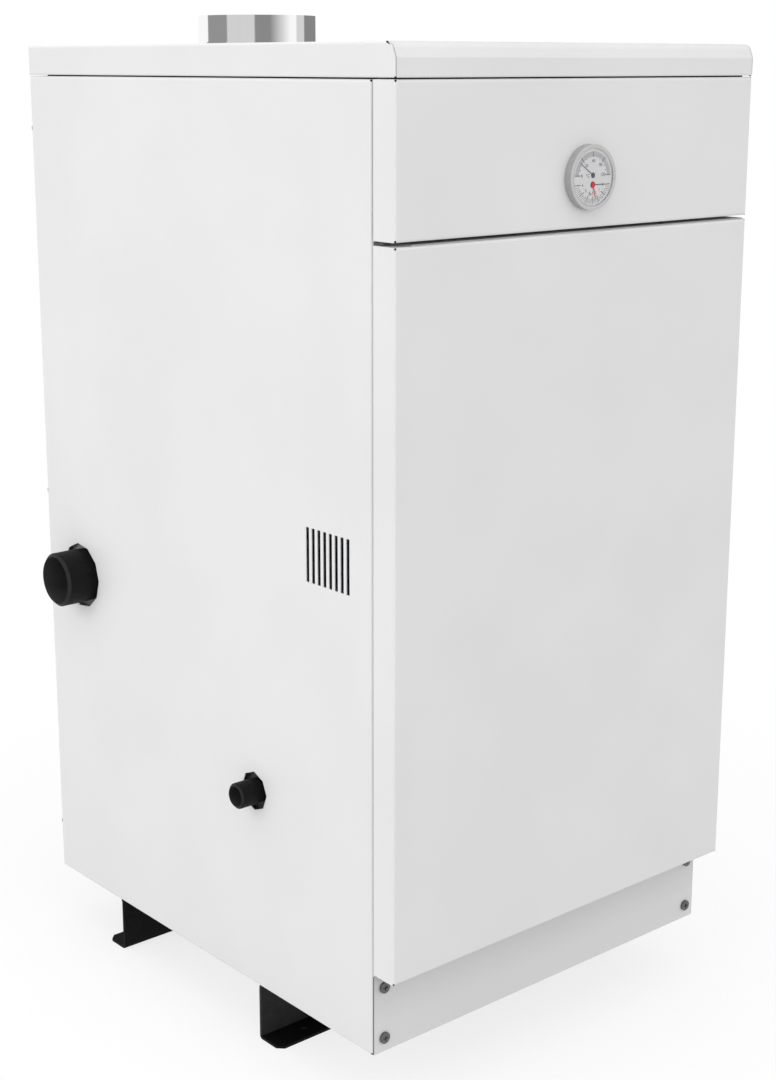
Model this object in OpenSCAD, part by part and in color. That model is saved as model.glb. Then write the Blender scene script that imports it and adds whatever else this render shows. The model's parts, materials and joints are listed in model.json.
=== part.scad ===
// Floor-standing atmospheric gas boiler in a folded sheet-steel cabinet.
// Millimetres. +Z is up, the front faces -Y, and the origin is on the floor, under the middle of the box.
// The modules draw in the cabinet's own coordinates: X from its middle, Y back from the side panels'
// front edge, Z up from their bottom edge. cabinet() sets these on the feet.

/* [Cabinet] */
// Width over the side panels
cabinet_w = 468; // [450:1:520]
// Depth of the side panels
cabinet_d = 568; // [560:1:640]
// Height of the side panels
side_h = 912.3; // [900:0.1:960]
// Thickness of the casing sheet
sheet_t = 1; // [0.8:0.1:1.2]
// Outside radius of the casing's folds
fold_r = 2.6; // [1.6:0.1:3]
// Width of the side panels' front returns
front_return_w = 22; // [20:1:28]
// Width of the side panels' rear returns
rear_return_w = 15; // [12:1:20]
// Width of the side panels' top returns
top_return_w = 20; // [18:1:24]
// Width of the side panels' bottom returns
bottom_return_w = 30; // [26:1:32]
// Diameter of the relief holes at folded corners
relief_dia = 1.9; // [1.6:0.1:3]
// Thickness of the base tray
tray_t = 1.5; // [1:0.1:2]
// Height of the base tray's lips
tray_lip_h = 16; // [10:1:20]

/* [Vent slots and pipe holes] */
// Number of vent slots in each side panel
slot_count = 8; // [4:1:10]
// Spacing of the vent slots
slot_pitch = 8.46; // [7:0.01:10]
// Width of a vent slot
slot_w = 4.5; // [3:0.1:5]
// Length of a vent slot
slot_len = 53.2; // [40:0.1:70]
// Distance of the first slot behind the panel's front edge
slot_front = 33.4; // [28:0.1:45]
// Height of the slots' lower ends
slot_z = 452; // [420:1:520]
// Radius of the hole round a water pipe, over its corners
water_hole_r = 36.3; // [34:0.1:40]
// Number of sides of the hole round a water pipe
water_hole_sides = 11; // [8:1:12]
// Radius of the hole round the gas pipe, over its corners
gas_hole_r = 20.5; // [18:0.1:24]
// Number of sides of the hole round the gas pipe
gas_hole_sides = 8; // [6:1:12]

/* [Fascia and door] */
// Gap between the side panels and what hangs in front of them
front_gap = 2.5; // [2.4:0.1:4]
// Depth of the fascia and of the door
front_d = 28.8; // [26:0.1:34]
// Height of the fascia
fascia_h = 135.4; // [120:0.1:150]
// Gap between the fascia and the door
door_top_gap = 4; // [3.6:0.1:6]
// Height of the door's underside
door_z = 85.4; // [80:0.1:110]
// Width of the door's and fascia's inner lips
lip_w = 12; // [10:0.5:15]
// Width of the door's stiffening channel
stiffener_w = 40; // [30:1:60]
// Depth of the door's stiffening channel
stiffener_d = 14; // [10:1:18]
// Thickness of the foam strip on the door's top edge
door_seal_t = 1.1; // [0.8:0.1:1.5]

/* [Door hinge and catch] */
// Hinge pin's distance in from the side face
hinge_in = 5; // [4:0.1:6]
// Hinge pin's distance in front of the door's rear edge
hinge_fore = 5.6; // [5:0.1:7]
// Diameter of the hinge pins
hinge_pin_dia = 4; // [3:0.1:5]
// Length of a hinge pin inside the door
hinge_pin_reach = 10; // [6:0.5:16]
// Thickness of the hinge brackets
bracket_t = 2; // [1.5:0.1:2.5]
// Height of the hinge brackets' legs
bracket_h = 22; // [16:1:30]
// Height of the magnet catch
catch_h = 50; // [40:1:70]
// Width of the magnet catch
catch_w = 12; // [10:0.5:14]
// Depth of the magnet catch behind the panel
catch_d = 10; // [8:0.5:14]

/* [Plinth and feet] */
// Height of the plinth strip
plinth_h = 82; // [78:0.5:83]
// Set-in of the plinth strip from the side faces
plinth_inset = 2; // [2:0.1:5]
// Screws' distance in from the side faces
plinth_screw_in = 14.3; // [13:0.1:16]
// Height of the lower plinth screws
plinth_screw_z = 14.8; // [12:0.1:20]
// Spacing of the two plinth screws at each end
plinth_screw_pitch = 53.1; // [40:0.1:56]
// Diameter of the screw heads
screw_head_dia = 11.5; // [9:0.1:12]
// Height of the screw heads
screw_head_h = 2.4; // [1.8:0.1:3]
// Diameter of the screw shanks
screw_dia = 4.2; // [3.5:0.1:5]
// Height of the feet
foot_h = 62; // [50:1:90]
// Thickness of the feet
foot_t = 3; // [2.5:0.1:4]
// Width of the feet's lower flanges
foot_flange_w = 34; // [28:0.5:40]
// Width of the feet's upper flanges
foot_top_w = 30; // [24:1:34]
// Outside radius of the feet's folds
foot_fold_r = 4; // [3.5:0.1:5]
// Chamfer at the corners of the feet's lower flanges
foot_chamfer = 6.6; // [4:0.1:9]
// Set-in of the feet from the side faces
foot_inset = 2.3; // [1:0.1:5]
// Distance of the front foot's tip behind the panels' front edge
foot_front_y = 149.5; // [110:0.5:170]
// Distance of the rear foot's tip in front of the panels' rear edge
foot_rear_y = 93; // [60:0.5:120]
// Distance of the floor bolt holes from the feet's ends
foot_hole_in = 43.6; // [30:0.1:60]
// Diameter of the floor bolt holes
foot_hole_dia = 7; // [6:0.1:9]

/* [Top cover] */
// Height of the top cover
cover_h = 30; // [28:0.1:36]
// Gap between the side panels and the top cover
cover_gap = 1.3; // [1:0.1:3]
// Radius of the cover's rolled front edge
cover_roll_r = 9.1; // [7.8:1.3:10.4]
// How far back the slope under the roll leans
cover_slope_in = 3.25; // [2.6:0.65:3.9]
// Height of the slope under the roll
cover_slope_up = 7.8; // [6.5:1.3:9.1]
// Width of the open seam between each end of the cover and its rolled front
cover_seam_w = 0.8; // [0.4:0.1:1]
// Width of the cover's inner flanges
cover_flange_w = 18; // [14:0.5:22]
// Length of the gap left open behind the cover's foam strips
seal_stop = 26.3; // [20:0.1:40]
// Width of the cover's foam strips
seal_w = 12; // [8:0.5:14]

/* [Flue] */
// Outside diameter of the flue stub
flue_dia = 130; // [110:1:140]
// Height of the flue stub above the top cover
flue_above = 32.5; // [25:0.5:80]
// Distance of the flue's axis in front of the cabinet's back
flue_rear = 94.6; // [92:0.1:120]
// Wall of the flue stub
flue_t = 1.5; // [1:0.1:2]
// Height of the stop bead above the cover
bead_h = 4; // [3:0.5:6]
// Radial clearance between the flue stub and the cover's hole
flue_cover_gap = 3; // [2:0.5:6]
// Height of the flue hood
hood_h = 130; // [110:1:160]
// Thickness of the hood sheet
hood_t = 1.5; // [1:0.1:2]

/* [Heat exchanger] */
// Depth of the space in front of the water jacket
compartment_d = 250; // [246:1:260]
// Space between the water jacket and each side face
side_room = 54; // [48:1:60]
// Distance of the flue hood's top below the top of the side panels
hood_under = 112.3; // [90:0.1:130]
// Height of the water jacket's underside
jacket_z = 190; // [180:1:210]
// Gap between the water jacket and the cabinet's back
jacket_rear = 26; // [24:1:40]
// Thickness of the exchanger's steel plate
plate_t = 3; // [2:0.1:5]
// Width of the water space round the firebox
water_gap = 30; // [24:1:36]
// Height of the firebox
firebox_h = 240; // [200:1:280]
// Outside diameter of a flue tube
tube_dia = 57; // [48:1:60]
// Wall of a flue tube
tube_t = 3; // [2:0.1:4]
// Spacing of the flue tubes, which fill the firebox's crown
tube_pitch = 72; // [66:1:72]
// Length of a turbulator strip
turbulator_len = 210; // [150:1:220]
// Thickness of a turbulator strip
turbulator_t = 1.5; // [1:0.1:2]
// Thickness of the insulation round the water jacket
wrap_t = 14; // [10:1:20]
// Thickness of the stand's sheet
stand_t = 2; // [1.5:0.1:3]
// Width of the stand's flanges
stand_flange_w = 30; // [24:1:33]

/* [Water connections] */
// Diameter over the water pipes' threads
water_pipe_dia = 59.6; // [47.8:0.1:60]
// Bore of the water pipes
water_bore_dia = 52.8; // [42:0.1:54]
// Length of the water pipes outside the side panels
water_pipe_out = 33.3; // [25:0.1:60]
// Distance of the water pipes' axes in front of the cabinet's back
water_rear = 66.7; // [62:0.1:80]
// Height of the return pipe's axis
return_z = 371; // [300:1:400]
// Distance of the supply pipe's axis below the water jacket's top
supply_down = 48; // [40:1:110]
// How much thinner the pipes are behind their threads, on radius
thread_step = 0.5; // [0.3:0.05:1]

/* [Gas line] */
// Diameter over the gas pipe's thread
gas_pipe_dia = 26.4; // [20.9:0.1:27]
// Bore of the gas pipe
gas_bore_dia = 21.4; // [16:0.1:22]
// Length of the gas pipe outside the left side panel
gas_pipe_out = 23.8; // [18:0.1:40]
// Distance of the gas pipe's axis in front of the water jacket
gas_fore = 66.7; // [62:0.1:70]
// Height of the gas pipe's axis
gas_z = 214; // [208:0.5:222]
// Diameter of the manifold
manifold_dia = 26.9; // [21:0.1:30]
// Wall of the manifold
manifold_t = 2.6; // [2:0.1:3]
// Length of the manifold
manifold_len = 262; // [240:1:300]
// Width over the flats of a nozzle
nozzle_af = 12; // [10:0.5:14]
// Length of a nozzle outside the manifold
nozzle_len = 22; // [16:0.5:26]
// Diameter of a nozzle's jet
nozzle_jet_dia = 2.4; // [1.5:0.1:3]

/* [Gas valve] */
// Width of the gas valve's body
valve_w = 110; // [96:1:130]
// Depth of the gas valve's body
valve_d = 72; // [64:1:78]
// Height of the gas valve's body
valve_h = 70; // [60:1:80]
// Diameter of the control knob
knob_dia = 44; // [36:1:48]
// Height of the control knob
knob_h = 24; // [18:1:30]
// Diameter of the control knob's stem
knob_stem_dia = 10; // [8:0.5:12]
// Diameter of the igniter's button
button_dia = 14; // [10:0.5:16]
// Travel of the igniter's button
button_travel = 5; // [3:0.5:6]
// Length of the igniter's housing
igniter_len = 52; // [44:1:60]

/* [Burner] */
// Number of burner bars
bar_count = 4; // [2:1:4]
// Space between two neighbouring burner bars
bar_space = 38; // [36:1:44]
// Height of a burner bar
bar_h = 46; // [40:1:50]
// Height of the burner bars' underside
bar_z = 118; // [112:1:124]
// Sheet thickness of the burner
bar_t = 1; // [0.8:0.1:1.5]
// Distance between the burner bars' ends and the stand's rear
bar_rear = 36; // [30:1:60]
// How much narrower than its bar a burner's mouth is, on each side
mouth_lip = 2; // [1:0.1:5]
// Length of a burner's mouth in front of the front plate
mouth_len = 26; // [18:1:30]
// Spacing of the flame ports
port_pitch = 20; // [16:1:30]
// Width of a flame port
port_w = 2; // [1.5:0.1:3]
// Height of the heat shield over the base tray
shield_z = 38; // [30:1:50]
// Radius of the sight hole
sight_r = 8; // [6:0.5:9]
// Height of the pilot flame's axis
pilot_z = 156; // [154:0.5:158]
// Spacing of the pilot burner, thermocouple and electrode
pilot_pitch = 12; // [11:0.5:13]

/* [Gauge] */
// Diameter of the gauge's rim
gauge_dia = 60; // [56:0.5:64]
// Height of the gauge's rim over the fascia
gauge_proud = 8.5; // [7.5:0.1:12]
// Height of the gauge's middle above the fascia's lower edge
gauge_up = 46.5; // [40:0.1:80]
// Diameter of the dial that shows inside the bezel
dial_dia = 52; // [48:0.5:54]
// Depth of the gauge's case behind the fascia
gauge_depth = 25; // [20:0.5:26]
// Height of the temperature pointer's pivot above the dial's middle
temp_pivot_up = 1.9; // [1:0.1:4]
// Depth of the pressure pointer's pivot below the dial's middle
press_pivot_down = 6.7; // [5:0.1:8]
// Length of the temperature pointer
temp_pointer_len = 20; // [16:0.5:21]
// Length of the pressure pointer
press_pointer_len = 18.5; // [14:0.5:19]
// Length of the red set pointer
set_pointer_len = 13.4; // [10:0.1:15]
// Diameter of the gauge's capillaries
capillary_dia = 2.4; // [1.6:0.1:3]

/* [Fits] */
// Radial clearance of a shaft that turns or slides in its bore
running_fit = 0.05; // [0.02:0.01:0.1]
// Clearance between pieces that are pushed or laid together
fit = 0.3; // [0.2:0.05:0.4]
// Radial clearance of welded and screwed tubes
weld_fit = 0.1; // [0.05:0.01:0.15]

/* [Hidden] */
$fn = 72;
over = 1;

// Main planes of the cabinet
half_w = cabinet_w / 2;
inner_x = half_w - sheet_t;
door_back = -front_gap;
door_front = door_back - front_d;
bezel_front = door_front - gauge_proud;
middle_y = (cabinet_d + screw_head_h + bezel_front) / 2;
fascia_z = side_h - fascia_h;
door_top = fascia_z - door_top_gap;
door_h = door_top - door_z;
cover_z = side_h + cover_gap;
cover_top = cover_z + cover_h;
panel_back = cabinet_d - sheet_t;
tray_top = sheet_t + tray_t;
// Half the width of what stands between the folds of the side panels
between_folds = half_w - fold_r - fit;

// Places of the water jacket and of what stands under and on it
jacket_back = cabinet_d - jacket_rear;
jacket_front = compartment_d;
jacket_d = jacket_back - jacket_front;
jacket_mid_y = (jacket_front + jacket_back) / 2;
hood_top = side_h - hood_under;
jacket_top = hood_top - hood_h;
jacket_x = half_w - side_room;
box_x = jacket_x - plate_t - water_gap;
box_front = jacket_front + plate_t + water_gap;
box_back = jacket_back - plate_t - water_gap;
crown_z = jacket_z + firebox_h;
tube_r = tube_dia / 2;
tubes_x = floor((2 * (box_x - plate_t) + fit) / tube_pitch);
tubes_y = floor((box_back - box_front - 2 * plate_t + fit) / tube_pitch);
tube_xs = [for (i = [0 : tubes_x - 1]) (i - (tubes_x - 1) / 2) * tube_pitch];
tube_ys = [for (i = [0 : tubes_y - 1]) jacket_mid_y + (i - (tubes_y - 1) / 2) * tube_pitch];
flue_y = cabinet_d - flue_rear;
flue_r = flue_dia / 2;
flue_tip = cover_top + flue_above;
water_y = cabinet_d - water_rear;
water_r = water_pipe_dia / 2;
supply_z = jacket_top - supply_down;
gas_r = gas_pipe_dia / 2;
gas_y = jacket_front - gas_fore;

// Tray opening under the burner
air_x = box_x - plate_t;
air_front = box_front;
air_back = box_back;

// Burner and gas valve
front_plate_t = 2;
plate_front = jacket_front - front_plate_t;
bar_pitch = 2 * (box_x - plate_t) / bar_count;
bar_w = bar_pitch - bar_space;
bar_xs = [for (i = [0 : bar_count - 1]) (i - (bar_count - 1) / 2) * bar_pitch];
mouth_r = bar_w / 2 - mouth_lip;
mouth_z = bar_z + mouth_r + bar_t;
bar_back = jacket_back - bar_rear;
manifold_r = manifold_dia / 2;
valve_x = -20;
valve_left = valve_x - valve_w / 2;
valve_right = valve_x + valve_w / 2;
valve_z = gas_z - valve_h / 2;
valve_back = gas_y + valve_d / 2 - 4;
valve_front = valve_back - valve_d;
inlet_boss_len = 15;
inlet_boss_r = gas_r + 6.8;
valve_head_in = 12;
valve_head_h = 8;
down_x = valve_x + valve_w / 2 - 16;
knob_x = valve_x - 15;
knob_boss_h = 6;
knob_boss_r = knob_dia / 2 + 4;
knob_gap = 1;
knob_stem_len = 14;
igniter_r = button_dia / 2 + 4;
igniter_x = valve_right + igniter_r + 4;
igniter_front = valve_front - 20;
button_out = 10;
button_stem_len = 18;

// Gauge
gauge_z = fascia_z + gauge_up;
rim_r = gauge_dia / 2;
case_r = rim_r - 1.6;
case_t = 1;
bezel_t = 0.6;
glass_t = 0.4;
dial_t = 0.6;
pointer_room = 1;
pointer_t = 0.25;
pointer_lift = 0.1;
hub_r = 2.5;
press_hub_r = 3;
pointer_w = 1;
post_r = 0.5;
// Radius of the turned base behind the dial
base_r = 8;
bezel_back = bezel_front + bezel_t;
dial_face = bezel_front + glass_t + pointer_room;
temp_pivot_z = gauge_z + temp_pivot_up;
press_pivot_z = gauge_z - press_pivot_down;
temp_rest_deg = 146;
set_rest_deg = -73.5;

// Gauge pockets in the front of the water jacket
pocket_r = 7;
pocket_z = jacket_top - 70;
pocket_xs = [40, 75];
pocket_reach = 32;
pocket_head_len = 10;
capillary_y = 120;
capillary_bend = 8;

// Helpers

module cabinet() translate([0, -middle_y, foot_h]) children();

module slab(low, high) translate(low) cube(high - low);

// Parts that come once on each side, mirrored about the middle plane
module both_sides() {
  children();
  mirror([1, 0, 0]) children();
}

module rod_x(from, to, y, z, r) translate([from, y, z]) rotate([0, 90, 0]) cylinder(h = to - from, r = r);

module rod_y(from, to, x, z, r) translate([x, from, z]) rotate([-90, 0, 0]) cylinder(h = to - from, r = r);

module rod_z(from, to, x, y, r) translate([x, y, from]) cylinder(h = to - from, r = r);

// Upright slot through a sheet that faces X, its lower end's middle at the origin
module slot_x() translate([-over, 0, 0]) rotate([90, 0, 90]) linear_extrude(sheet_t + 2 * over)
  translate([-slot_w / 2, 0]) rounded_rect([slot_w, slot_len], slot_ends);

// Extrude a profile drawn in Y and Z along X, from the given x
module along_x(from, to) translate([from, 0, 0]) rotate([90, 0, 90]) linear_extrude(to - from) children();

// Extrude a profile drawn in X and Z along Y, from the given y
module along_y(from, to) translate([0, to, 0]) rotate([90, 0, 0]) linear_extrude(to - from) children();

// Rectangle whose corners are rounded, anticlockwise from the lowest one
module rounded_rect(size, radii) {
  module nick(r) if (r > 0) difference() {
    translate([-over, -over]) square(r + over);
    translate([r, r]) circle(r);
  }
  difference() {
    square(size);
    nick(radii[0]);
    translate([size[0], 0]) rotate(90) nick(radii[1]);
    translate(size) rotate(180) nick(radii[2]);
    translate([0, size[1]]) rotate(270) nick(radii[3]);
  }
}

// Solid block of a folded pan: X from the middle, Y from -d to 0, with rounded front edges
module pan_block(w, h, d, r) intersection() {
  linear_extrude(h) translate([-w / 2, -d]) rounded_rect([w, d], [r, r, 0, 0]);
  along_x(-w / 2, w / 2) translate([-d, 0]) rounded_rect([d, h], [r, 0, 0, r]);
}

// Folded sheet pan, open at the back, with relief holes at its corners
module pan(w, h, d) difference() {
  pan_block(w, h, d, fold_r);
  translate([0, over, sheet_t])
    pan_block(w - 2 * sheet_t, h - 2 * sheet_t, d - sheet_t + over, fold_r - sheet_t);
  both_sides() for (z = [dot_up, h - dot_up])
    translate([w / 2 - dot_in, dot_in - d, z]) relief_hole();
}

// Places of the relief holes, in from a folded corner and up from its end
dot_in = fold_r - (fold_r - sheet_t / 2) / sqrt(2);
dot_up_share = 0.6;
low_dot_share = 0.15;
dot_up = relief_dia * dot_up_share;

// Hole through a folded corner between +X and -Y
module relief_hole() rotate([90, 0, 45]) translate([0, 0, -relief_dia])
  cylinder(h = 2 * relief_dia, r = relief_dia / 2);

// Pipe along +Z from its mouth, chamfered down to the bore, at full size over its thread
module threaded_pipe(thread, full, r, bore_r) rotate_extrude() polygon([
  [bore_r, 0], [r, r - bore_r], [r, thread],
  [r - thread_step, thread], [r - thread_step, full], [bore_r, full]
]);

// Round rod along straight runs that are square to each other, with rounded corners
module wire(points, r, bend) {
  count = len(points);
  for (i = [0 : count - 2]) {
    dir = unit(points[i + 1] - points[i]);
    from = points[i] + (i > 0 ? bend * dir : 0 * dir);
    to = points[i + 1] - (i < count - 2 ? bend * dir : 0 * dir);
    align(dir, from) cylinder(h = norm(to - from), r = r);
  }
  for (i = [1 : count - 2]) {
    u = unit(points[i] - points[i - 1]);
    v = unit(points[i + 1] - points[i]);
    w = cross(u, v);
    c = points[i] - bend * u + bend * v;
    multmatrix([[-v[0], u[0], w[0], c[0]], [-v[1], u[1], w[1], c[1]], [-v[2], u[2], w[2], c[2]]])
      rotate_extrude(angle = 90) translate([bend, 0]) circle(r);
  }
}

// Turn +Z to a direction along an axis, at a point
module align(dir, point) translate(point)
  rotate([dir[2] < 0 ? 180 : -90 * dir[1], 90 * dir[0], 0]) children();

function unit(v) = v / norm(v);

// Pan-head screw with a cross recess, its head's underside at the origin and its shank along -Z
module cross_screw(len) {
  recess_w = screw_head_dia / 8;
  recess_l = screw_head_dia / 2;
  recess_d = screw_head_h / 2;
  difference() {
    cylinder(h = screw_head_h, r = screw_head_dia / 2);
    for (a = [0, 90]) rotate(a)
      translate([-recess_l / 2, -recess_w / 2, screw_head_h - recess_d])
        cube([recess_l, recess_w, recess_d + over]);
  }
  translate([0, 0, -len]) cylinder(h = len, r = screw_dia / 2 - weld_fit);
}

// Hexagon bolt with its head's underside at the origin and its shank along -Z
module hex_bolt(dia, len) {
  cylinder(h = dia * bolt_head_share, r = dia * bolt_flats_share / 2 / cos(30), $fn = 6);
  translate([0, 0, -len]) cylinder(h = len, r = dia / 2);
}

// Height and width over the flats of a hexagon head, of the bolt's diameter
bolt_head_share = 0.7;
bolt_flats_share = 5 / 3;

// Casing

// Tall block of a side panel, set in by t, with all the folded edges of its face rounded
module panel_block(t) {
  wide = bottom_return_w + over;
  r = fold_r - t;
  intersection() {
    linear_extrude(side_h - t)
      translate([t - half_w, t]) rounded_rect([wide, cabinet_d - 2 * t], [r, 0, 0, r]);
    along_y(0, cabinet_d)
      translate([t - half_w, t]) rounded_rect([wide, side_h - 2 * t], [r, 0, 0, r]);
  }
}

// The left panel; the right one is its mirror image with its own holes
module side_panel(holes, notches) difference() {
  end_x = bottom_return_w + 2 * over - half_w;
  panel_block(0);
  panel_block(sheet_t);
  // The returns' free edges
  slab([front_return_w - half_w, -over, -over], [end_x, fold_r, side_h + over]);
  slab([rear_return_w - half_w, cabinet_d - fold_r, -over], [end_x, cabinet_d + over, side_h + over]);
  slab([top_return_w - half_w, -over, side_h - fold_r], [end_x, cabinet_d + over, side_h + over]);
  slab([bottom_return_w - half_w, -over, -over], [end_x, cabinet_d + over, side_h + over]);
  for (i = [0 : slot_count - 1]) translate([-half_w, slot_front + i * slot_pitch, slot_z]) slot_x();
  for (z = [0, plinth_screw_pitch])
    rod_y(-over, sheet_t + over, plinth_screw_in - half_w, plinth_screw_z + z, screw_dia / 2);
  for (y = foot_bolt_ys()) rod_z(-over, sheet_t + over, -foot_bolt_x(), y, foot_bolt_dia / 2 + fit);
  for (z = back_screw_zs) rod_y(panel_back - over, cabinet_d + over, back_screw_x(), z, screw_dia / 2);
  for (z = [dot_up, side_h - dot_up]) translate([dot_in - half_w, dot_in, z]) mirror([1, 0, 0]) relief_hole();
  for (h = holes) translate([-half_w - over, h[0], h[1]]) rotate([0, 90, 0]) rotate(h[4])
    cylinder(h = sheet_t + 2 * over, r = h[2], $fn = h[3]);
  for (n = notches) slab([n[0], -over, n[1]], [n[2], sheet_t + over, n[3]]);
}

function back_screw_x() = rear_return_w / 2 - half_w;
back_screw_shares = [0.06, 0.5, 0.94];
back_screw_zs = [for (share = back_screw_shares) share * side_h];

foot_bolt_dia = 6;
function foot_bolt_x() = half_w - bottom_return_w * 2 / 3;
function foot_bolt_ys() = [foot_front_y + foot_bolt_in(), cabinet_d - foot_rear_y - foot_bolt_in()];

// Lowest and highest X and Z of the slot that a hinge bracket comes through
function hinge_notch(z) = [bracket_left() - fit, z - fit, bracket_right() + fit, z + bracket_t + fit];

module side_panel_left() color("white") side_panel(
  [[water_y, return_z, water_hole_r, water_hole_sides, 270],
   [gas_y, gas_z, gas_hole_r, gas_hole_sides, 0]],
  [hinge_notch(upper_bracket_z()), hinge_notch(lower_bracket_z())]);

module side_panel_right() color("white") mirror([1, 0, 0]) side_panel(
  [[water_y, supply_z, water_hole_r, water_hole_sides, 270]],
  [[catch_x() - catch_w / 2 - fit, catch_z(), catch_x() + catch_w / 2 + fit, catch_z() + catch_h]]);

slot_corner_r = 0.5;
slot_ends = [slot_corner_r, slot_corner_r, slot_corner_r, slot_corner_r];

module back_panel() color("gainsboro") difference() {
  slab([-between_folds, panel_back - sheet_t, sheet_t], [between_folds, panel_back, side_h - sheet_t]);
  // Window for the flue's dilution air
  slab([-window_x(), panel_back - sheet_t - over, window_z()],
       [window_x(), panel_back + over, window_z() + window_h]);
  // Rows of slots for the burner's air
  for (i = [0 : back_slot_count - 1], row = [0, 1])
    translate([(i - (back_slot_count - 1) / 2) * back_slot_pitch, panel_back,
               back_slot_z + row * (slot_len + back_slot_pitch)]) rotate(-90) slot_x();
  for (x = [-1, 1], z = back_screw_zs)
    rod_y(panel_back - sheet_t - over, panel_back + over, x * back_screw_x(), z, screw_dia / 2);
}

back_slot_count = 9;
back_slot_pitch = 24;
back_slot_z = 60;
window_h = 90;
function window_x() = jacket_x - stand_flange_w;
function window_z() = jacket_top + hood_h / 8;

module base_tray() color("silver") difference() {
  union() {
    slab([-tray_x, tray_front, sheet_t], [tray_x, tray_back, tray_top]);
    slab([-tray_x, tray_front, sheet_t], [tray_x, tray_front + tray_t, tray_top + tray_lip_h]);
    slab([-tray_x, tray_back - tray_t, sheet_t], [tray_x, tray_back, tray_top + tray_lip_h]);
  }
  slab([-air_x, air_front, 0], [air_x, air_back, tray_top + over]);
  both_sides() {
    for (y = foot_bolt_ys()) rod_z(0, tray_top + over, foot_bolt_x(), y, foot_bolt_dia / 2 + fit);
    for (y = stand_bolt_ys()) rod_z(0, tray_top + over, stand_bolt_x(), y, stand_bolt_dia / 2 + fit);
    rod_y(tray_front - over, tray_front + tray_t + over, half_w - plinth_screw_in, plinth_screw_z,
          screw_dia / 2 + fit);
  }
}

tray_x = between_folds;
tray_front = sheet_t + fit;
tray_back = panel_back - sheet_t;

stand_bolt_dia = 6;
function stand_bolt_x() = jacket_x - stand_flange_w / 2;
function stand_bolt_ys() = [jacket_front + jacket_d / 6, jacket_back - jacket_d / 6];

// Channel-shaped foot with its floor flange towards -Y
module foot() {
  half_l = half_w - foot_inset;
  inner_r = foot_fold_r - foot_t;
  difference() {
    along_x(-half_l, half_l) difference() {
      translate([0, -foot_h]) rounded_rect([foot_flange_w, foot_h], [0, foot_fold_r, foot_fold_r, 0]);
      translate([-over, foot_t - foot_h])
        rounded_rect([foot_flange_w - foot_t + over, foot_h - 2 * foot_t], [0, inner_r, inner_r, 0]);
      translate([-over, -foot_t - over])
        square([foot_flange_w - foot_top_w + over, foot_t + 2 * over]);
    }
    both_sides() {
      translate([half_l, 0, -foot_h]) rotate(45)
        cube([foot_chamfer * sqrt(2), foot_chamfer * sqrt(2), 3 * foot_t], center = true);
      // The upper flange stops short of the cabinet's edge
      slab([half_l - foot_top_short, -over, -foot_t - over],
           [half_l + over, foot_flange_w - foot_fold_r, over]);
      rod_z(-foot_h - over, foot_t - foot_h + over, half_l - foot_hole_in, foot_flange_w / 2,
            foot_hole_dia / 2);
      rod_z(-foot_t - over, over, foot_bolt_x(), foot_bolt_in(), foot_bolt_dia / 2 + fit);
    }
  }
}

foot_top_short = 6;

// Distance of the foot's own bolts from the tip of its floor flange
function foot_bolt_in() = foot_flange_w - foot_top_w / 2;

module foot_front() color("black") translate([0, foot_front_y, 0]) foot();

module foot_rear() color("black") translate([0, cabinet_d - foot_rear_y, 0]) mirror([0, 1, 0]) foot();

module foot_bolts() color("dimgray") both_sides() {
  for (y = foot_bolt_ys()) translate([foot_bolt_x(), y, tray_top])
    hex_bolt(foot_bolt_dia, tray_top + foot_t + foot_bolt_dia);
  for (y = stand_bolt_ys()) translate([stand_bolt_x(), y, tray_top + stand_t])
    hex_bolt(stand_bolt_dia, stand_t + tray_t + stand_bolt_dia);
}

module plinth() color("gainsboro") difference() {
  flange_x = half_w - bottom_return_w - fold_r;
  flange_d = bottom_return_w / 2;
  union() {
    slab([plinth_inset - half_w, -sheet_t, 0], [half_w - plinth_inset, 0, plinth_h]);
    slab([-flange_x, -sheet_t, 0], [flange_x, flange_d, sheet_t]);
  }
  both_sides() {
    translate([flange_x, -sheet_t, 0]) sphere(relief_dia / 2);
    for (z = [0, plinth_screw_pitch])
      rod_y(-sheet_t - over, over, half_w - plinth_screw_in, plinth_screw_z + z, screw_dia / 2);
  }
}

// Screws of the plinth, the back panel and the cleaning cover
module casing_screws() color("dimgray") {
  for (side = [-1, 1], z = [0, plinth_screw_pitch])
    translate([side * (half_w - plinth_screw_in), -sheet_t, plinth_screw_z + z]) rotate([90, 0, 0])
      cross_screw(casing_screw_len);
  for (side = [-1, 1], z = back_screw_zs)
    translate([side * back_screw_x(), cabinet_d, z]) rotate([-90, 0, 0]) cross_screw(casing_screw_len);
  for (p = cleaning_screw_places())
    translate([p[0], jacket_front - hood_t, p[1]]) rotate([90, 0, 0]) cross_screw(casing_screw_len);
}
casing_screw_len = 8;

module fascia_screws() color("dimgray") both_sides()
  translate([fascia_screw_x(), fascia_screw_y(), side_h]) low_screw(fascia_screw_len);
fascia_screw_len = 6;
fascia_screw_share = 0.8;
function fascia_screw_x() = half_w * fascia_screw_share;
function fascia_screw_y() = door_back - front_d / 4;

// Low-headed screw for the narrow gap under the top cover
module low_screw(len) {
  cylinder(h = cover_gap / 3, r = screw_dia);
  translate([0, 0, -len]) cylinder(h = len, r = screw_dia / 2 - weld_fit);
}

// Where the roll touches the slope, from the roll's axis
cover_slope_l = norm([cover_slope_in, cover_slope_up]);
roll_run = cover_roll_r * cover_slope_up / cover_slope_l;
roll_rise = cover_roll_r * cover_slope_in / cover_slope_l;
// Where the roll meets the flat top, behind the front
cover_roll_y = cover_slope_in + roll_run;
roll_z = cover_h - cover_roll_r;
// Height of the slope's lower edge
slope_z = roll_z + roll_rise - cover_slope_up;
// Radius of the cover's lower edges
hem_r = 1.5;

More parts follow.
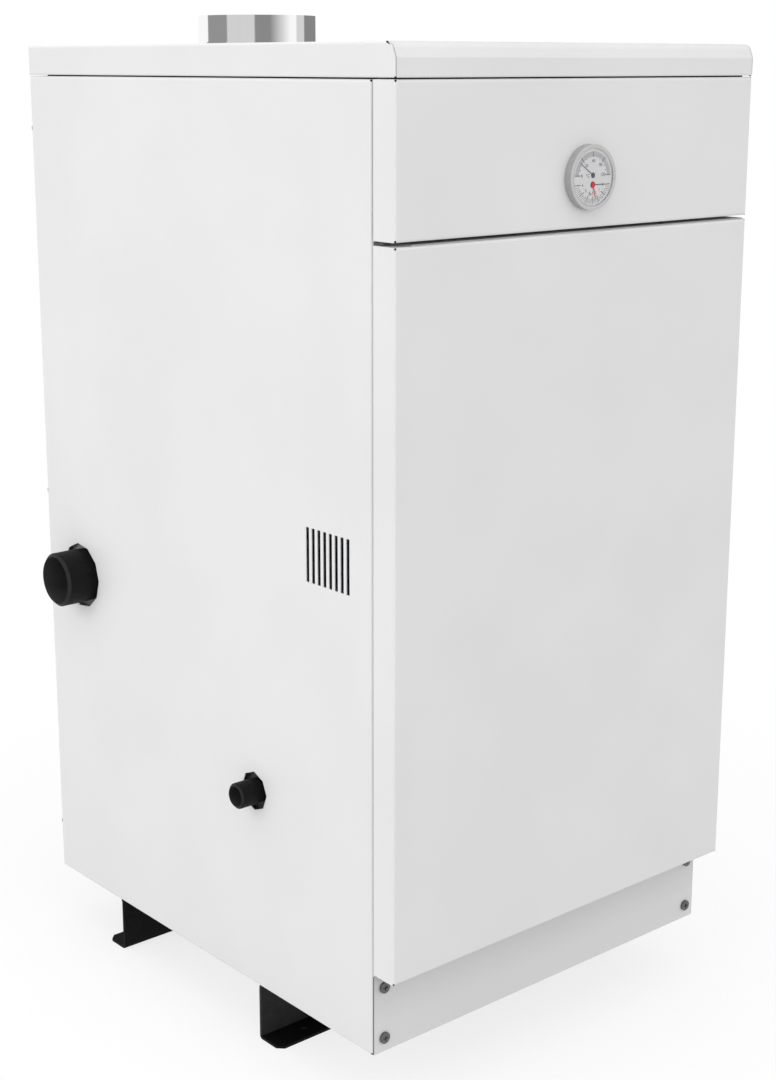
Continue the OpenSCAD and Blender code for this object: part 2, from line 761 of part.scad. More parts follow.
// Side view of the cover: upright front, slope, roll and flat top
module cover_outline(d) {
  polygon([
    [0, hem_r], [hem_r, 0], [d, 0], [d, cover_h], [cover_roll_y, cover_h],
    [cover_slope_in, roll_z + roll_rise], [0, slope_z]
  ]);
  translate([cover_roll_y, roll_z]) circle(cover_roll_r);
  translate([hem_r, hem_r]) circle(hem_r);
}

// Side view of the hollow in the cover, t under its outside
module cover_hollow(d, t) {
  polygon([
    [t, hem_r], [hem_r, t], [d - t, t], [d - t, cover_h - t], [cover_roll_y, cover_h - t],
    [cover_roll_y - cover_roll_r + t, roll_z], [t, slope_z - t]
  ]);
  translate([cover_roll_y, roll_z]) circle(cover_roll_r - t);
  translate([hem_r, hem_r]) circle(hem_r - t);
}

// Solid with the side view of its child, t inside the cover's ends and rear
module cover_block(d, t) {
  w = cabinet_w - 2 * t;
  edge = [hem_r - t, hem_r - t, fold_r - t, fold_r - t];
  corner = [sheet_t - t, sheet_t - t, sheet_t - t, sheet_t - t];
  intersection() {
    along_x(-w / 2, w / 2) children();
    along_y(0, d) translate([-w / 2, t]) rounded_rect([w, cover_h - 2 * t], edge);
    linear_extrude(cover_h) translate([-w / 2, t]) rounded_rect([w, d - 2 * t], corner);
  }
}

module top_cover() color("white") translate([0, door_front, cover_z]) {
  depth = cabinet_d - door_front;
  seam_x = half_w - sheet_t - cover_seam_w / 2;
  nick_w = 1.1;
  nick_len = 8;
  nick_fore = 4;
  nick_drop = 3.2;
  nick_deg = 24.5;
  difference() {
    cover_block(depth, 0) cover_outline(depth);
    cover_block(depth, sheet_t) cover_hollow(depth, sheet_t);
    // Opening inside the flanges that lie on the foam strips
    slab([cover_flange_w - half_w, cover_flange_w, -over],
         [half_w - cover_flange_w, depth - sheet_t, sheet_t + over]);
    // Open seam between each end and the rolled front, and the slit where the end's corner is cut off
    both_sides() {
      along_x(seam_x, seam_x + cover_seam_w) difference() {
        translate([-over, hem_r]) square([cover_roll_y + over, cover_h]);
        cover_hollow(depth, sheet_t + fit);
      }
      along_x(half_w - fold_r, half_w + over)
        translate([cover_roll_y - nick_fore, cover_h - nick_drop]) rotate(nick_deg) square([nick_len, nick_w]);
      translate([half_w - dot_in, dot_in, relief_dia * low_dot_share]) relief_hole();
    }
    translate([0, flue_y - door_front, -over])
      cylinder(h = cover_h + 2 * over, r = flue_r + flue_cover_gap);
  }
}

module cover_seal() color("black") {
  seal_in = top_return_w - seal_w - sheet_t;
  both_sides() slab([half_w - seal_in - seal_w, 2 * seal_in, side_h],
                    [half_w - seal_in, cabinet_d - seal_stop, cover_z]);
  slab([seal_in - half_w, door_front + seal_in, side_h],
       [half_w - seal_in, door_front + seal_in + front_d / 4, cover_z]);
}

module fascia() color("gainsboro") difference() {
  translate([0, door_back, fascia_z]) pan(cabinet_w, fascia_h, front_d);
  rod_y(door_front - over, door_front + sheet_t + over, 0, gauge_z, case_r + fit);
  both_sides() rod_z(side_h - 2 * sheet_t, side_h + over, fascia_screw_x(), fascia_screw_y(), screw_dia / 2);
}

// Black plate behind the fascia, with flanges that the fascia is pushed over
module fascia_mount() color("dimgray") {
  mount_t = 1.5;
  flange_d = 18;
  low = fascia_z + fascia_h / 6;
  top = side_h - sheet_t - fit;
  wide = inner_x - fit;
  corner = fold_r;
  tongue_x = half_w - front_return_w - plinth_inset;
  difference() {
    union() {
      slab([-wide, -mount_t, low], [wide, 0, top]);
      slab([-tongue_x, -mount_t, door_top - door_top_gap], [tongue_x, 0, low + over]);
      slab([corner - wide, -flange_d, top - mount_t], [wide - corner, -mount_t / 2, top]);
      both_sides() slab([wide - mount_t, -flange_d, low], [wide, -mount_t / 2, top - corner]);
    }
    rod_y(-mount_t - over, over, 0, gauge_z, case_r * 2 / 3);
    both_sides() rod_z(top - 2 * mount_t, top + over, fascia_screw_x(), fascia_screw_y(), screw_dia / 2);
  }
}

// Door

hinge_x = hinge_in - half_w;
hinge_y = door_back - hinge_fore;
function upper_bracket_z() = door_top + door_plate_gap;
function lower_bracket_z() = door_z - door_plate_gap - bracket_t;
door_plate_gap = 0.5;

module door() color("gainsboro") difference() {
  union() {
    translate([0, door_back, door_z]) pan(cabinet_w, door_h, front_d);
    both_sides() slab([half_w - lip_w, door_back - sheet_t, door_z + sheet_t / 2],
                      [half_w - sheet_t / 2, door_back, door_top - sheet_t / 2]);
  }
  for (z = [door_z, door_top])
    rod_z(z - 2 * sheet_t, z + 2 * sheet_t, hinge_x, hinge_y, hinge_pin_dia / 2 + running_fit);
  // Relief notch where the bottom flange starts
  both_sides() translate([half_w, door_back - lip_w / 3, door_z]) sphere(relief_dia / 3);
}

module door_stiffener() color("silver") {
  channel_t = 1.2;
  reach = half_w - 2 * lip_w;
  face = door_front + sheet_t;
  translate([0, 0, door_z + door_h / 2 - stiffener_w / 2]) along_x(-reach, reach) difference() {
    translate([face, 0]) square([stiffener_d, stiffener_w]);
    translate([face - over, channel_t]) square([stiffener_d - channel_t + over, stiffener_w - 2 * channel_t]);
  }
  for (z = [-1, 1]) translate([0, 0, door_z + door_h / 2 + z * (stiffener_w + lip_w - channel_t) / 2])
    slab([-reach, face, -lip_w / 2], [reach, face + channel_t, lip_w / 2]);
}

module door_seal() color("black")
  slab([lip_w + 2 * hinge_in - half_w, door_front + fold_r + sheet_t, door_top],
       [inner_x, door_back - sheet_t, door_top + door_seal_t]);

function bracket_left() = sheet_t + fold_r - half_w - fit;
function bracket_right() = 2 * hinge_in - half_w + bracket_t;

// Angle bracket with its plate at a height and its leg from leg_z up, behind the side panel's return
module hinge_bracket(z, leg_z) {
  pin_r = hinge_pin_dia / 2;
  difference() {
    union() {
      slab([bracket_left(), hinge_y - 2 * pin_r, z], [bracket_right(), sheet_t + bracket_t, z + bracket_t]);
      slab([bracket_left(), sheet_t, leg_z], [bracket_right(), sheet_t + bracket_t, leg_z + bracket_h]);
    }
    rod_z(z - over, z + bracket_t + over, hinge_x, hinge_y, pin_r + weld_fit);
  }
}

module hinge_bracket_upper() color("black") hinge_bracket(upper_bracket_z(), upper_bracket_z());

module hinge_bracket_lower() color("gainsboro")
  hinge_bracket(lower_bracket_z(), lower_bracket_z() + bracket_t - bracket_h);

// A pin at each end of the door; the lower one has a washer that carries the door's weight
module hinge_pins() color("silver") {
  pin_r = hinge_pin_dia / 2;
  rod_z(door_top - hinge_pin_reach, upper_bracket_z() + bracket_t + over, hinge_x, hinge_y, pin_r);
  rod_z(lower_bracket_z() - over, door_z + hinge_pin_reach, hinge_x, hinge_y, pin_r);
  rod_z(lower_bracket_z() + bracket_t, door_z, hinge_x, hinge_y, 2 * pin_r);
}

catch_in_share = 0.55;
catch_up_share = 0.6;
function catch_x() = front_return_w * catch_in_share - half_w;
function catch_z() = door_z + door_h * catch_up_share;

module magnet_catch() color("dimgray") mirror([1, 0, 0]) {
  face = door_back + fit;
  slab([catch_x() - catch_w / 2, face, catch_z() + fit],
       [catch_x() + catch_w / 2, sheet_t + catch_d, catch_z() + catch_h - fit]);
  slab([catch_x() - catch_w / 2, sheet_t, catch_z() - catch_w / 2],
       [catch_x() + catch_w / 2, sheet_t + catch_d / 2, catch_z() + catch_h + catch_w / 2]);
}

// Flue

module flue_stub() color("silver") translate([0, flue_y, 0]) {
  bead_w = 1.8;
  foot_z = hood_top - cleaning_lap;
  difference() {
    union() {
      translate([0, 0, foot_z]) cylinder(h = flue_tip - foot_z, r = flue_r);
      translate([0, 0, cover_top + fit]) cylinder(h = bead_h, r = flue_r + bead_w);
    }
    translate([0, 0, foot_z - over]) cylinder(h = flue_tip - foot_z + 2 * over, r = flue_r - flue_t);
  }
}

// Box on the water jacket that gathers the flue gas and lets dilution air in at the back
module flue_hood() color("silver") difference() {
  wide = jacket_x - hood_t;
  union() {
    slab([-wide, jacket_front, jacket_top], [wide, jacket_back, hood_top]);
    // Spigot that holds the flue stub
    rod_z(hood_top - hood_t, hood_top + cleaning_lap, 0, flue_y, flue_r + fit + hood_t);
  }
  slab([hood_t - wide, jacket_front + hood_t, jacket_top - over],
       [wide - hood_t, jacket_back - hood_t, hood_top - hood_t]);
  rod_z(hood_top - 2 * hood_t, hood_top + 2 * cleaning_lap, 0, flue_y, flue_r + fit);
  slab([-window_x(), jacket_back - 2 * hood_t, window_z()],
       [window_x(), jacket_back + over, window_z() + hood_h / 2]);
  slab([-cleaning_x(), jacket_front - over, cleaning_z()],
       [cleaning_x(), jacket_front + 2 * hood_t, cleaning_z() + cleaning_h()]);
  for (p = cleaning_screw_places())
    rod_y(jacket_front - over, jacket_front + 2 * hood_t, p[0], p[1], screw_dia / 2);
}

module draught_baffle() color("silver") {
  wide = jacket_x - 2 * hood_t;
  baffle_z = jacket_top + hood_h * baffle_share;
  slab([-wide, jacket_mid_y - tube_pitch, baffle_z],
       [wide, jacket_mid_y + tube_pitch / 2, baffle_z + hood_t]);
}
baffle_share = 0.72;

cleaning_lap = 10;
function cleaning_x() = jacket_x - 2 * stand_flange_w;
function cleaning_z() = jacket_top + hood_h / 6;
function cleaning_h() = hood_h / 3;
cleaning_screw_shares = [0.2, 0.8];
function cleaning_screw_places() = [for (side = [-1, 1], share = cleaning_screw_shares)
  [side * (cleaning_x() + cleaning_lap / 2), cleaning_z() + share * cleaning_h()]];

module cleaning_cover() color("silver") difference() {
  union() {
    slab([-cleaning_x() - cleaning_lap, jacket_front - hood_t, cleaning_z() - cleaning_lap],
         [cleaning_x() + cleaning_lap, jacket_front, cleaning_z() + cleaning_h() + cleaning_lap]);
    // Folded grip in the middle
    slab([-tube_r, jacket_front - cleaning_lap - hood_t, cleaning_z() + cleaning_h() / 2],
         [tube_r, jacket_front - hood_t / 2, cleaning_z() + cleaning_h() / 2 + hood_t]);
  }
  for (p = cleaning_screw_places())
    rod_y(jacket_front - hood_t - over, jacket_front + over, p[0], p[1], screw_dia / 2);
}

// Heat exchanger

module jacket_shell() color("dimgray") difference() {
  slab([-jacket_x, jacket_front, jacket_z], [jacket_x, jacket_back, jacket_top]);
  slab([plate_t - jacket_x, jacket_front + plate_t, jacket_z - over],
       [jacket_x - plate_t, jacket_back - plate_t, jacket_top + over]);
  rod_x(-jacket_x - over, plate_t - jacket_x + over, water_y, return_z, water_r - thread_step + weld_fit);
  rod_x(jacket_x - plate_t - over, jacket_x + over, water_y, supply_z, water_r - thread_step + weld_fit);
  for (x = pocket_xs)
    rod_y(jacket_front - over, jacket_front + plate_t + over, x, pocket_z, pocket_r + weld_fit);
}

// Plate that closes the water space round the firebox at the bottom
module jacket_floor() color("dimgray") difference() {
  slab([plate_t - jacket_x, jacket_front + plate_t, jacket_z],
       [jacket_x - plate_t, jacket_back - plate_t, jacket_z + plate_t]);
  slab([-box_x, box_front, jacket_z - over], [box_x, box_back, jacket_z + plate_t + over]);
}

module firebox() color("dimgray") difference() {
  slab([-box_x, box_front, jacket_z], [box_x, box_back, crown_z]);
  slab([plate_t - box_x, box_front + plate_t, jacket_z - over],
       [box_x - plate_t, box_back - plate_t, crown_z - plate_t]);
  for (x = tube_xs, y = tube_ys) rod_z(crown_z - 2 * plate_t, crown_z + over, x, y, tube_r + weld_fit);
}

module upper_tube_plate() color("dimgray") difference() {
  slab([plate_t - jacket_x, jacket_front + plate_t, jacket_top - plate_t],
       [jacket_x - plate_t, jacket_back - plate_t, jacket_top]);
  for (x = tube_xs, y = tube_ys) rod_z(jacket_top - 2 * plate_t, jacket_top + over, x, y, tube_r + weld_fit);
}

module flue_tubes() color("gray") for (x = tube_xs, y = tube_ys) difference() {
  rod_z(crown_z - plate_t, jacket_top, x, y, tube_r);
  rod_z(crown_z - plate_t - over, jacket_top + over, x, y, tube_r - tube_t);
}

// Width of a turbulator strip, of the flue tube's bore
strip_share = 0.8;

// Zigzag strips that hang in the flue tubes
module turbulators() color("gray") for (x = tube_xs, y = tube_ys)
  translate([x, y, jacket_top - turbulator_len]) turbulator();

module turbulator() {
  strip_w = 2 * (tube_r - tube_t) * strip_share;
  folds = 6;
  step = turbulator_len / folds;
  sway = tube_r / 4;
  along_y(-strip_w / 2, strip_w / 2) polygon(concat(
    [for (i = [0 : folds]) [(i % 2 == 0 ? -sway : sway), i * step]],
    [for (i = [folds : -1 : 0]) [(i % 2 == 0 ? -sway : sway) + turbulator_t, i * step]]));
  // Hook bar that rests across the tube's top
  slab([-tube_r, -turbulator_t, turbulator_len], [tube_r, turbulator_t, turbulator_len + 2 * turbulator_t]);
}

module insulation_wrap() color("lightgray") difference() {
  slab([-jacket_x - wrap_t, jacket_front - wrap_t, jacket_z],
       [jacket_x + wrap_t, jacket_back + wrap_t, jacket_top]);
  slab([-jacket_x, jacket_front, jacket_z - over], [jacket_x, jacket_back, jacket_top + over]);
  rod_x(-jacket_x - wrap_t - over, -jacket_x + over, water_y, return_z, water_r + fit);
  rod_x(jacket_x - over, jacket_x + wrap_t + over, water_y, supply_z, water_r + fit);
  for (x = pocket_xs)
    rod_y(jacket_front - wrap_t - over, jacket_front + over, x, pocket_z, pocket_r + fit);
}

// Folded frame that carries the water jacket and closes the burner's sides and back
module exchanger_stand() color("silver") difference() {
  union() {
    both_sides() {
      slab([jacket_x - stand_t, jacket_front, tray_top], [jacket_x, jacket_back, jacket_z]);
      slab([jacket_x - stand_flange_w, jacket_front, tray_top], [jacket_x, jacket_back, tray_top + stand_t]);
      slab([jacket_x - stand_flange_w, jacket_front, jacket_z - stand_t], [jacket_x, jacket_back, jacket_z]);
    }
    slab([-jacket_x, jacket_back - stand_t, tray_top], [jacket_x, jacket_back, jacket_z]);
  }
  both_sides() for (y = stand_bolt_ys())
    rod_z(tray_top - over, tray_top + stand_t + over, stand_bolt_x(), y, stand_bolt_dia / 2 + fit);
}

// Bent plate on the stand's flanges that keeps the flames' heat from the floor
module heat_shield() color("silver") {
  wide = jacket_x - stand_flange_w + lip_w;
  low = tray_top + stand_t;
  high = tray_top + shield_z;
  from = stand_bolt_ys()[0] + lip_w;
  to = stand_bolt_ys()[1] - lip_w;
  slab([-wide, from, high - stand_t / 2], [wide, to, high]);
  both_sides() slab([wide - stand_t / 2, from, low], [wide, to, high]);
}

// Water pipe with its mouth at the origin's side, drawn towards +Z
module water_stub() threaded_pipe(
  water_pipe_out - sheet_t, half_w + water_pipe_out - jacket_x + plate_t, water_r, water_bore_dia / 2);

module return_stub() color("black")
  translate([-half_w - water_pipe_out, water_y, return_z]) rotate([0, 90, 0]) water_stub();

module supply_stub() color("black")
  translate([half_w + water_pipe_out, water_y, supply_z]) rotate([0, -90, 0]) water_stub();

// Burner

module burner_front_plate() color("silver") difference() {
  union() {
    slab([-jacket_x, plate_front, tray_top], [jacket_x, jacket_front, jacket_z - fit]);
    rod_y(plate_front - flap_pin_len(), jacket_front, sight_x(), flap_z(), flap_pin_r);
  }
  for (x = bar_xs) rod_y(plate_front - over, jacket_front + over, x, mouth_z, mouth_r + fit);
  for (x = [-1, 0, 1]) rod_y(plate_front - over, jacket_front + over, x * pilot_pitch, pilot_z, pilot_hole_r);
  rod_y(plate_front - over, jacket_front + over, sight_x(), sight_z(), sight_r);
}

pilot_hole_r = 4.4;
flap_pin_r = 2;
flap_t = 1.5;
function sight_x() = bar_xs[len(bar_xs) - 1] - bar_pitch / 2;
function sight_z() = flap_z() - flap_drop;
function flap_z() = jacket_z - sight_r;
flap_drop = 18;
function flap_pin_len() = flap_t + 2 * fit + front_plate_t;

// Cover that hangs over the sight hole, on a pin of the front plate, and swings to either side
module sight_flap() color("dimgray") difference() {
  back = plate_front - fit;
  union() {
    rod_y(back - flap_t, back, sight_x(), sight_z(), sight_r + flap_pin_r);
    rod_y(back - flap_t, back, sight_x(), flap_z(), 3 * flap_pin_r);
    slab([sight_x() - 2 * flap_pin_r, back - flap_t, sight_z()],
         [sight_x() + 2 * flap_pin_r, back, flap_z()]);
  }
  rod_y(back - flap_t - over, back + over, sight_x(), flap_z(), flap_pin_r + running_fit);
}

module burner_rail() color("silver") {
  rail_w = 24;
  y = bar_back - 1.5 * rail_w;
  reach = jacket_x - stand_t;
  slab([-reach, y, bar_z - stand_t], [reach, y + rail_w, bar_z]);
  slab([-reach, y, bar_z - rail_w], [reach, y + stand_t, bar_z - stand_t / 2]);
}

// Length of a flame port, of the bar's width
port_share = 0.6;

// Burner bar with a round crown, flame ports across it and a mouth at the front
module burner_bar(x) color("silver") translate([x, 0, bar_z]) difference() {
  crown_r = bar_w / 2;
  ports = floor((bar_back - jacket_front - port_pitch) / port_pitch);
  inner_r = crown_r - bar_t;
  union() {
    along_y(jacket_front, bar_back)
      translate([-crown_r, 0]) rounded_rect([bar_w, bar_h], [0, 0, crown_r, crown_r]);
    rod_y(plate_front - mouth_len, jacket_front + over, 0, mouth_z - bar_z, mouth_r);
  }
  along_y(jacket_front + bar_t, bar_back - bar_t)
    translate([-inner_r, bar_t]) rounded_rect([2 * inner_r, bar_h - 2 * bar_t], [0, 0, inner_r, inner_r]);
  rod_y(plate_front - mouth_len - over, jacket_front + 2 * bar_t, 0, mouth_z - bar_z, mouth_r - bar_t);
  for (i = [1 : ports])
    slab([-crown_r * port_share, jacket_front + i * port_pitch, bar_h - crown_r / 2],
         [crown_r * port_share, jacket_front + i * port_pitch + port_w, bar_h + over]);
}

// Gas pipe from the valve, the manifold across the burners' mouths and its bosses
module gas_manifold() color("dimgray") difference() {
  union() {
    rod_x(-manifold_len / 2, manifold_len / 2, gas_y, mouth_z, manifold_r);
    rod_z(mouth_z, valve_z, down_x, gas_y, gas_r - thread_step);
  }
  rod_x(manifold_t - manifold_len / 2, manifold_len / 2 - manifold_t, gas_y, mouth_z,
        manifold_r - manifold_t);
  rod_z(mouth_z, valve_z + over, down_x, gas_y, down_bore_r);
  for (x = bar_xs) rod_y(gas_y, gas_y + manifold_r + over, x, mouth_z, nozzle_shank_r + weld_fit);
}

nozzle_shank_r = 4;
down_bore_r = gas_r - thread_step - manifold_t;

module nozzles() color("gold") for (x = bar_xs) translate([x, 0, mouth_z]) difference() {
  face = gas_y + manifold_r;
  union() {
    rod_y(face - manifold_t, face + fit, 0, 0, nozzle_shank_r);
    translate([0, face, 0]) rotate([-90, 0, 0])
      cylinder(h = nozzle_len / 3, r = nozzle_af / 2 / cos(30), $fn = 6);
    rod_y(face + nozzle_len / 3, face + nozzle_len, 0, 0, nozzle_shank_r);
  }
  rod_y(face - manifold_t - over, face + nozzle_len + over, 0, 0, nozzle_jet_dia / 2);
}

// Pilot burner with its hood and its supply tube to the gas valve
module pilot_burner() color("gold") {
  head_r = pilot_hole_r - fit;
  tip = jacket_front + pilot_reach;
  difference() {
    rod_y(pilot_back(), tip, 0, pilot_z, head_r);
    slab([-head_r, tip - pilot_reach / 2, pilot_z], [head_r, tip - bar_t, pilot_z + 2 * head_r]);
  }
  wire([[0, pilot_back(), pilot_z], [0, lead_y(), pilot_z], [0, lead_y(), valve_z]], pilot_tube_r, lead_bend);
}

pilot_reach = 26;
pilot_stub = 8;
pilot_tube_r = 2;
lead_r = 1.5;
lead_bend = 6;
spark_r = 1;
function pilot_back() = plate_front - pilot_stub;
function lead_y() = valve_back - 2 * pilot_hole_r;
function lead_far_y() = pilot_back() - 2 * lead_bend;

module thermocouple() color("peru") {
  x = -pilot_pitch;
  rod_y(pilot_back(), jacket_front + pilot_reach, x, pilot_z, pilot_hole_r - spark_r);
  wire([[x, pilot_back(), pilot_z], [x, lead_y(), pilot_z], [x, lead_y(), valve_z]], lead_r, lead_bend);
}

module ignition_electrode() color("ivory") {
  x = pilot_pitch;
  rod_y(pilot_back(), jacket_front + pilot_reach / 2, x, pilot_z, pilot_hole_r - fit);
  rod_y(jacket_front + pilot_reach / 2, jacket_front + pilot_reach, x, pilot_z, spark_r);
  wire([[x, pilot_back(), pilot_z], [x, lead_far_y(), pilot_z], [igniter_x, lead_far_y(), pilot_z],
        [igniter_x, lead_far_y(), gas_z], [igniter_x, igniter_front + igniter_len, gas_z]],
       lead_r, lead_bend);
}

module gas_inlet_stub() color("black") {
  from = -half_w - gas_pipe_out;
  to = valve_left - inlet_boss_len;
  translate([from, gas_y, gas_z]) rotate([0, 90, 0])
    threaded_pipe(gas_pipe_out - sheet_t, to - from, gas_r, gas_bore_dia / 2);
}

// Combination gas valve, with the igniter's housing on its right side
module gas_valve() color("silver") difference() {
  union() {
    slab([valve_left, valve_front, valve_z], [valve_right, valve_back, valve_z + valve_h]);
    // Head of the valve's coil
    slab([valve_left + valve_head_in, valve_front + valve_head_in, valve_z + valve_h - over],
         [valve_right - valve_head_in, valve_back - valve_head_in, valve_z + valve_h + valve_head_h]);
    rod_x(valve_left - inlet_boss_len, valve_left + over, gas_y, gas_z, inlet_boss_r);
    rod_y(valve_front - knob_boss_h, valve_front + over, knob_x, gas_z, knob_boss_r);
    rod_y(igniter_front, igniter_front + igniter_len, igniter_x, gas_z, igniter_r);
    // Arm that holds the igniter's housing
    slab([valve_right - over, valve_front, gas_z - igniter_r / 2],
         [igniter_x, valve_front + igniter_r, gas_z + igniter_r / 2]);
  }
  rod_x(valve_left - inlet_boss_len - over, valve_left + gas_r, gas_y, gas_z, gas_bore_dia / 2);
  rod_y(valve_front - knob_boss_h - over, valve_front + knob_stem_len, knob_x, gas_z,
        knob_stem_dia / 2 + running_fit);
  rod_y(igniter_front - over, igniter_front + button_stem_len + button_travel + fit, igniter_x, gas_z,
        button_dia / 2 + running_fit);
  rod_z(valve_z - over, valve_z + down_bore_r, down_x, gas_y, down_bore_r);
}

// Reach of the knob's pointer rib, of the knob's radius
rib_share = 0.8;

// Fluted control knob with a pointer rib
module valve_knob() color("black") {
  back = valve_front - knob_boss_h - knob_gap;
  flutes = 16;
  knob_r = knob_dia / 2;
  flute_r = knob_r / 9;
  difference() {
    rod_y(back - knob_h, back, knob_x, gas_z, knob_r);
    for (i = [0 : flutes - 1]) rotate_about_knob(i * 360 / flutes)
      rod_y(back - knob_h - over, back - knob_h / 4, knob_x + knob_r, gas_z, flute_r);
  }
  slab([knob_x - flute_r / 2, back - knob_h - flute_r / 2, gas_z + knob_r / 4],
       [knob_x + flute_r / 2, back - knob_h + flute_r, gas_z + knob_r * rib_share]);
  rod_y(back - over, valve_front + knob_stem_len - knob_gap, knob_x, gas_z, knob_stem_dia / 2);
}

module rotate_about_knob(a)
  translate([knob_x, 0, gas_z]) rotate([0, a, 0]) translate([-knob_x, 0, -gas_z]) children();

module igniter_button() color("firebrick")
  rod_y(igniter_front - button_out, igniter_front + button_stem_len, igniter_x, gas_z, button_dia / 2);

// Gauge

module gauge_case() color("darkgray") difference() {
  union() {
    rod_y(bezel_back, door_front, 0, gauge_z, rim_r);
    rod_y(door_front - over, door_front + gauge_depth, 0, gauge_z, case_r);
  }
  rod_y(bezel_back - over, door_front + gauge_depth - 2 * case_t, 0, gauge_z, case_r - case_t);
}

module gauge_bezel() color("gainsboro") difference() {
  rod_y(bezel_front, bezel_back, 0, gauge_z, rim_r);
  rod_y(bezel_front - over, bezel_back + over, 0, gauge_z, dial_dia / 2);
}

// Pane that lies in the bezel's opening
module gauge_glass() color("lightblue", 0.3)
  rod_y(bezel_front, bezel_front + glass_t, 0, gauge_z, dial_dia / 2 - weld_fit);

// Dial on a turned base, with a post for each pivot
module gauge_dial() color("white") {
  rod_y(dial_face, dial_face + dial_t, 0, gauge_z, case_r - case_t - weld_fit);
  rod_y(dial_face + dial_t, door_front + gauge_depth - 2 * case_t, 0, gauge_z, base_r);
  rod_y(dial_face - pointer_lift - pointer_t, dial_face, 0, temp_pivot_z, post_r);
  rod_y(dial_face - 2 * (pointer_lift + pointer_t), dial_face, 0, press_pivot_z, post_r);
}

// Flat pointer on a hub, at a height over the dial, turned from the direction of +X
module pointer(len, deg, pivot_z, level, hub) {
  back = dial_face - pointer_lift - level * (pointer_lift + pointer_t);
  difference() {
    union() {
      rod_y(back - pointer_t, back, 0, pivot_z, hub);
      translate([0, back, pivot_z]) rotate([0, -deg, 0]) rotate([90, 0, 0]) linear_extrude(pointer_t)
        polygon([[0, -pointer_w / 2], [len, -pointer_w / 4], [len, pointer_w / 4], [0, pointer_w / 2]]);
    }
    rod_y(back - pointer_t - over, back + over, 0, pivot_z, post_r + running_fit);
  }
}

module temperature_pointer() color("dimgray")
  pointer(temp_pointer_len, temp_rest_deg, temp_pivot_z, 0, hub_r);

module pressure_pointer() color("dimgray")
  pointer(press_pointer_len, 0, press_pivot_z, 0, press_hub_r);

module set_pointer() color("red") pointer(set_pointer_len, set_rest_deg, press_pivot_z, 1, hub_r);

// Two capillaries with their bulbs and screwed pockets in the water jacket
module gauge_capillaries() color("peru") for (i = [0, 1]) {
  x = pocket_xs[i];
  head_y = jacket_front - wrap_t - pocket_head_len;
  r = capillary_dia / 2;
  gauge_x = (i - 0.5) * 8 * r;
  drop_y = capillary_y + i * 6 * r;
  rod_y(head_y, jacket_front + pocket_reach, x, pocket_z, pocket_r);
  wire([[gauge_x, door_front + gauge_depth, gauge_z], [gauge_x, drop_y, gauge_z],
        [gauge_x, drop_y, pocket_z], [x, drop_y, pocket_z], [x, head_y, pocket_z]], r, capillary_bend);
}

cabinet() side_panel_left();
cabinet() side_panel_right();
cabinet() back_panel();
cabinet() base_tray();
cabinet() foot_front();
cabinet() foot_rear();
cabinet() foot_bolts();
cabinet() plinth();
cabinet() casing_screws();
cabinet() fascia_screws();
cabinet() top_cover();
cabinet() cover_seal();
cabinet() fascia();
cabinet() fascia_mount();
cabinet() door();
cabinet() door_stiffener();
cabinet() door_seal();
cabinet() hinge_bracket_upper();
cabinet() hinge_bracket_lower();
cabinet() hinge_pins();
cabinet() magnet_catch();
cabinet() flue_stub();
cabinet() flue_hood();
cabinet() draught_baffle();
cabinet() cleaning_cover();
cabinet() jacket_shell();
cabinet() jacket_floor();
cabinet() firebox();
cabinet() upper_tube_plate();
cabinet() flue_tubes();
cabinet() turbulators();
cabinet() insulation_wrap();
cabinet() exchanger_stand();
cabinet() heat_shield();
cabinet() supply_stub();
cabinet() return_stub();
cabinet() burner_front_plate();
cabinet() burner_rail();
cabinet() burner_bar(bar_xs[0]);  // burner_bar_1
cabinet() burner_bar(bar_xs[1]);  // burner_bar_2
cabinet() burner_bar(bar_xs[2]);  // burner_bar_3
cabinet() burner_bar(bar_xs[3]);  // burner_bar_4
cabinet() gas_manifold();
cabinet() nozzles();
cabinet() pilot_burner();
cabinet() thermocouple();
cabinet() ignition_electrode();
cabinet() sight_flap();
cabinet() gas_inlet_stub();
cabinet() gas_valve();
cabinet() valve_knob();
cabinet() igniter_button();
cabinet() gauge_case();
cabinet() gauge_bezel();
cabinet() gauge_glass();
cabinet() gauge_dial();
cabinet() temperature_pointer();
cabinet() pressure_pointer();
cabinet() set_pointer();
cabinet() gauge_capillaries();
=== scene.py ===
import json
from math import cos, pi, radians, sin, sqrt, tau

import bmesh
import bpy
from mathutils import Euler, Matrix, Vector


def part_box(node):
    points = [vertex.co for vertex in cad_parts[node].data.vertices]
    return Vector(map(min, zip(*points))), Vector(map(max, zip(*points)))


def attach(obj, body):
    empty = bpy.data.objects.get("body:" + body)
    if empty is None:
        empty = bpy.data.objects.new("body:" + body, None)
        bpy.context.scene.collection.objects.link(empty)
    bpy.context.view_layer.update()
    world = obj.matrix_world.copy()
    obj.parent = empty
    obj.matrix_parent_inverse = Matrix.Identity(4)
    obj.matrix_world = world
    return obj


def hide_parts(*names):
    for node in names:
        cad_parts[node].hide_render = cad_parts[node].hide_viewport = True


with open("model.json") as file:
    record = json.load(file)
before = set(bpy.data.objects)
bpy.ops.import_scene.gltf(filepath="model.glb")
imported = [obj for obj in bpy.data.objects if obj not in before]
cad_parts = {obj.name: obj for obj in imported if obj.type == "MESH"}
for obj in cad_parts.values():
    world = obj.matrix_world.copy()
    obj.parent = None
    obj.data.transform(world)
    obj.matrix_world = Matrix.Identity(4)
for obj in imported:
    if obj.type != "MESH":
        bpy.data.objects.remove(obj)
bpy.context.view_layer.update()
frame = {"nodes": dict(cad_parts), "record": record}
scene = bpy.context.scene
MM = 0.001


# Camera: the photograph's place and lens, solved from the cabinet's corners

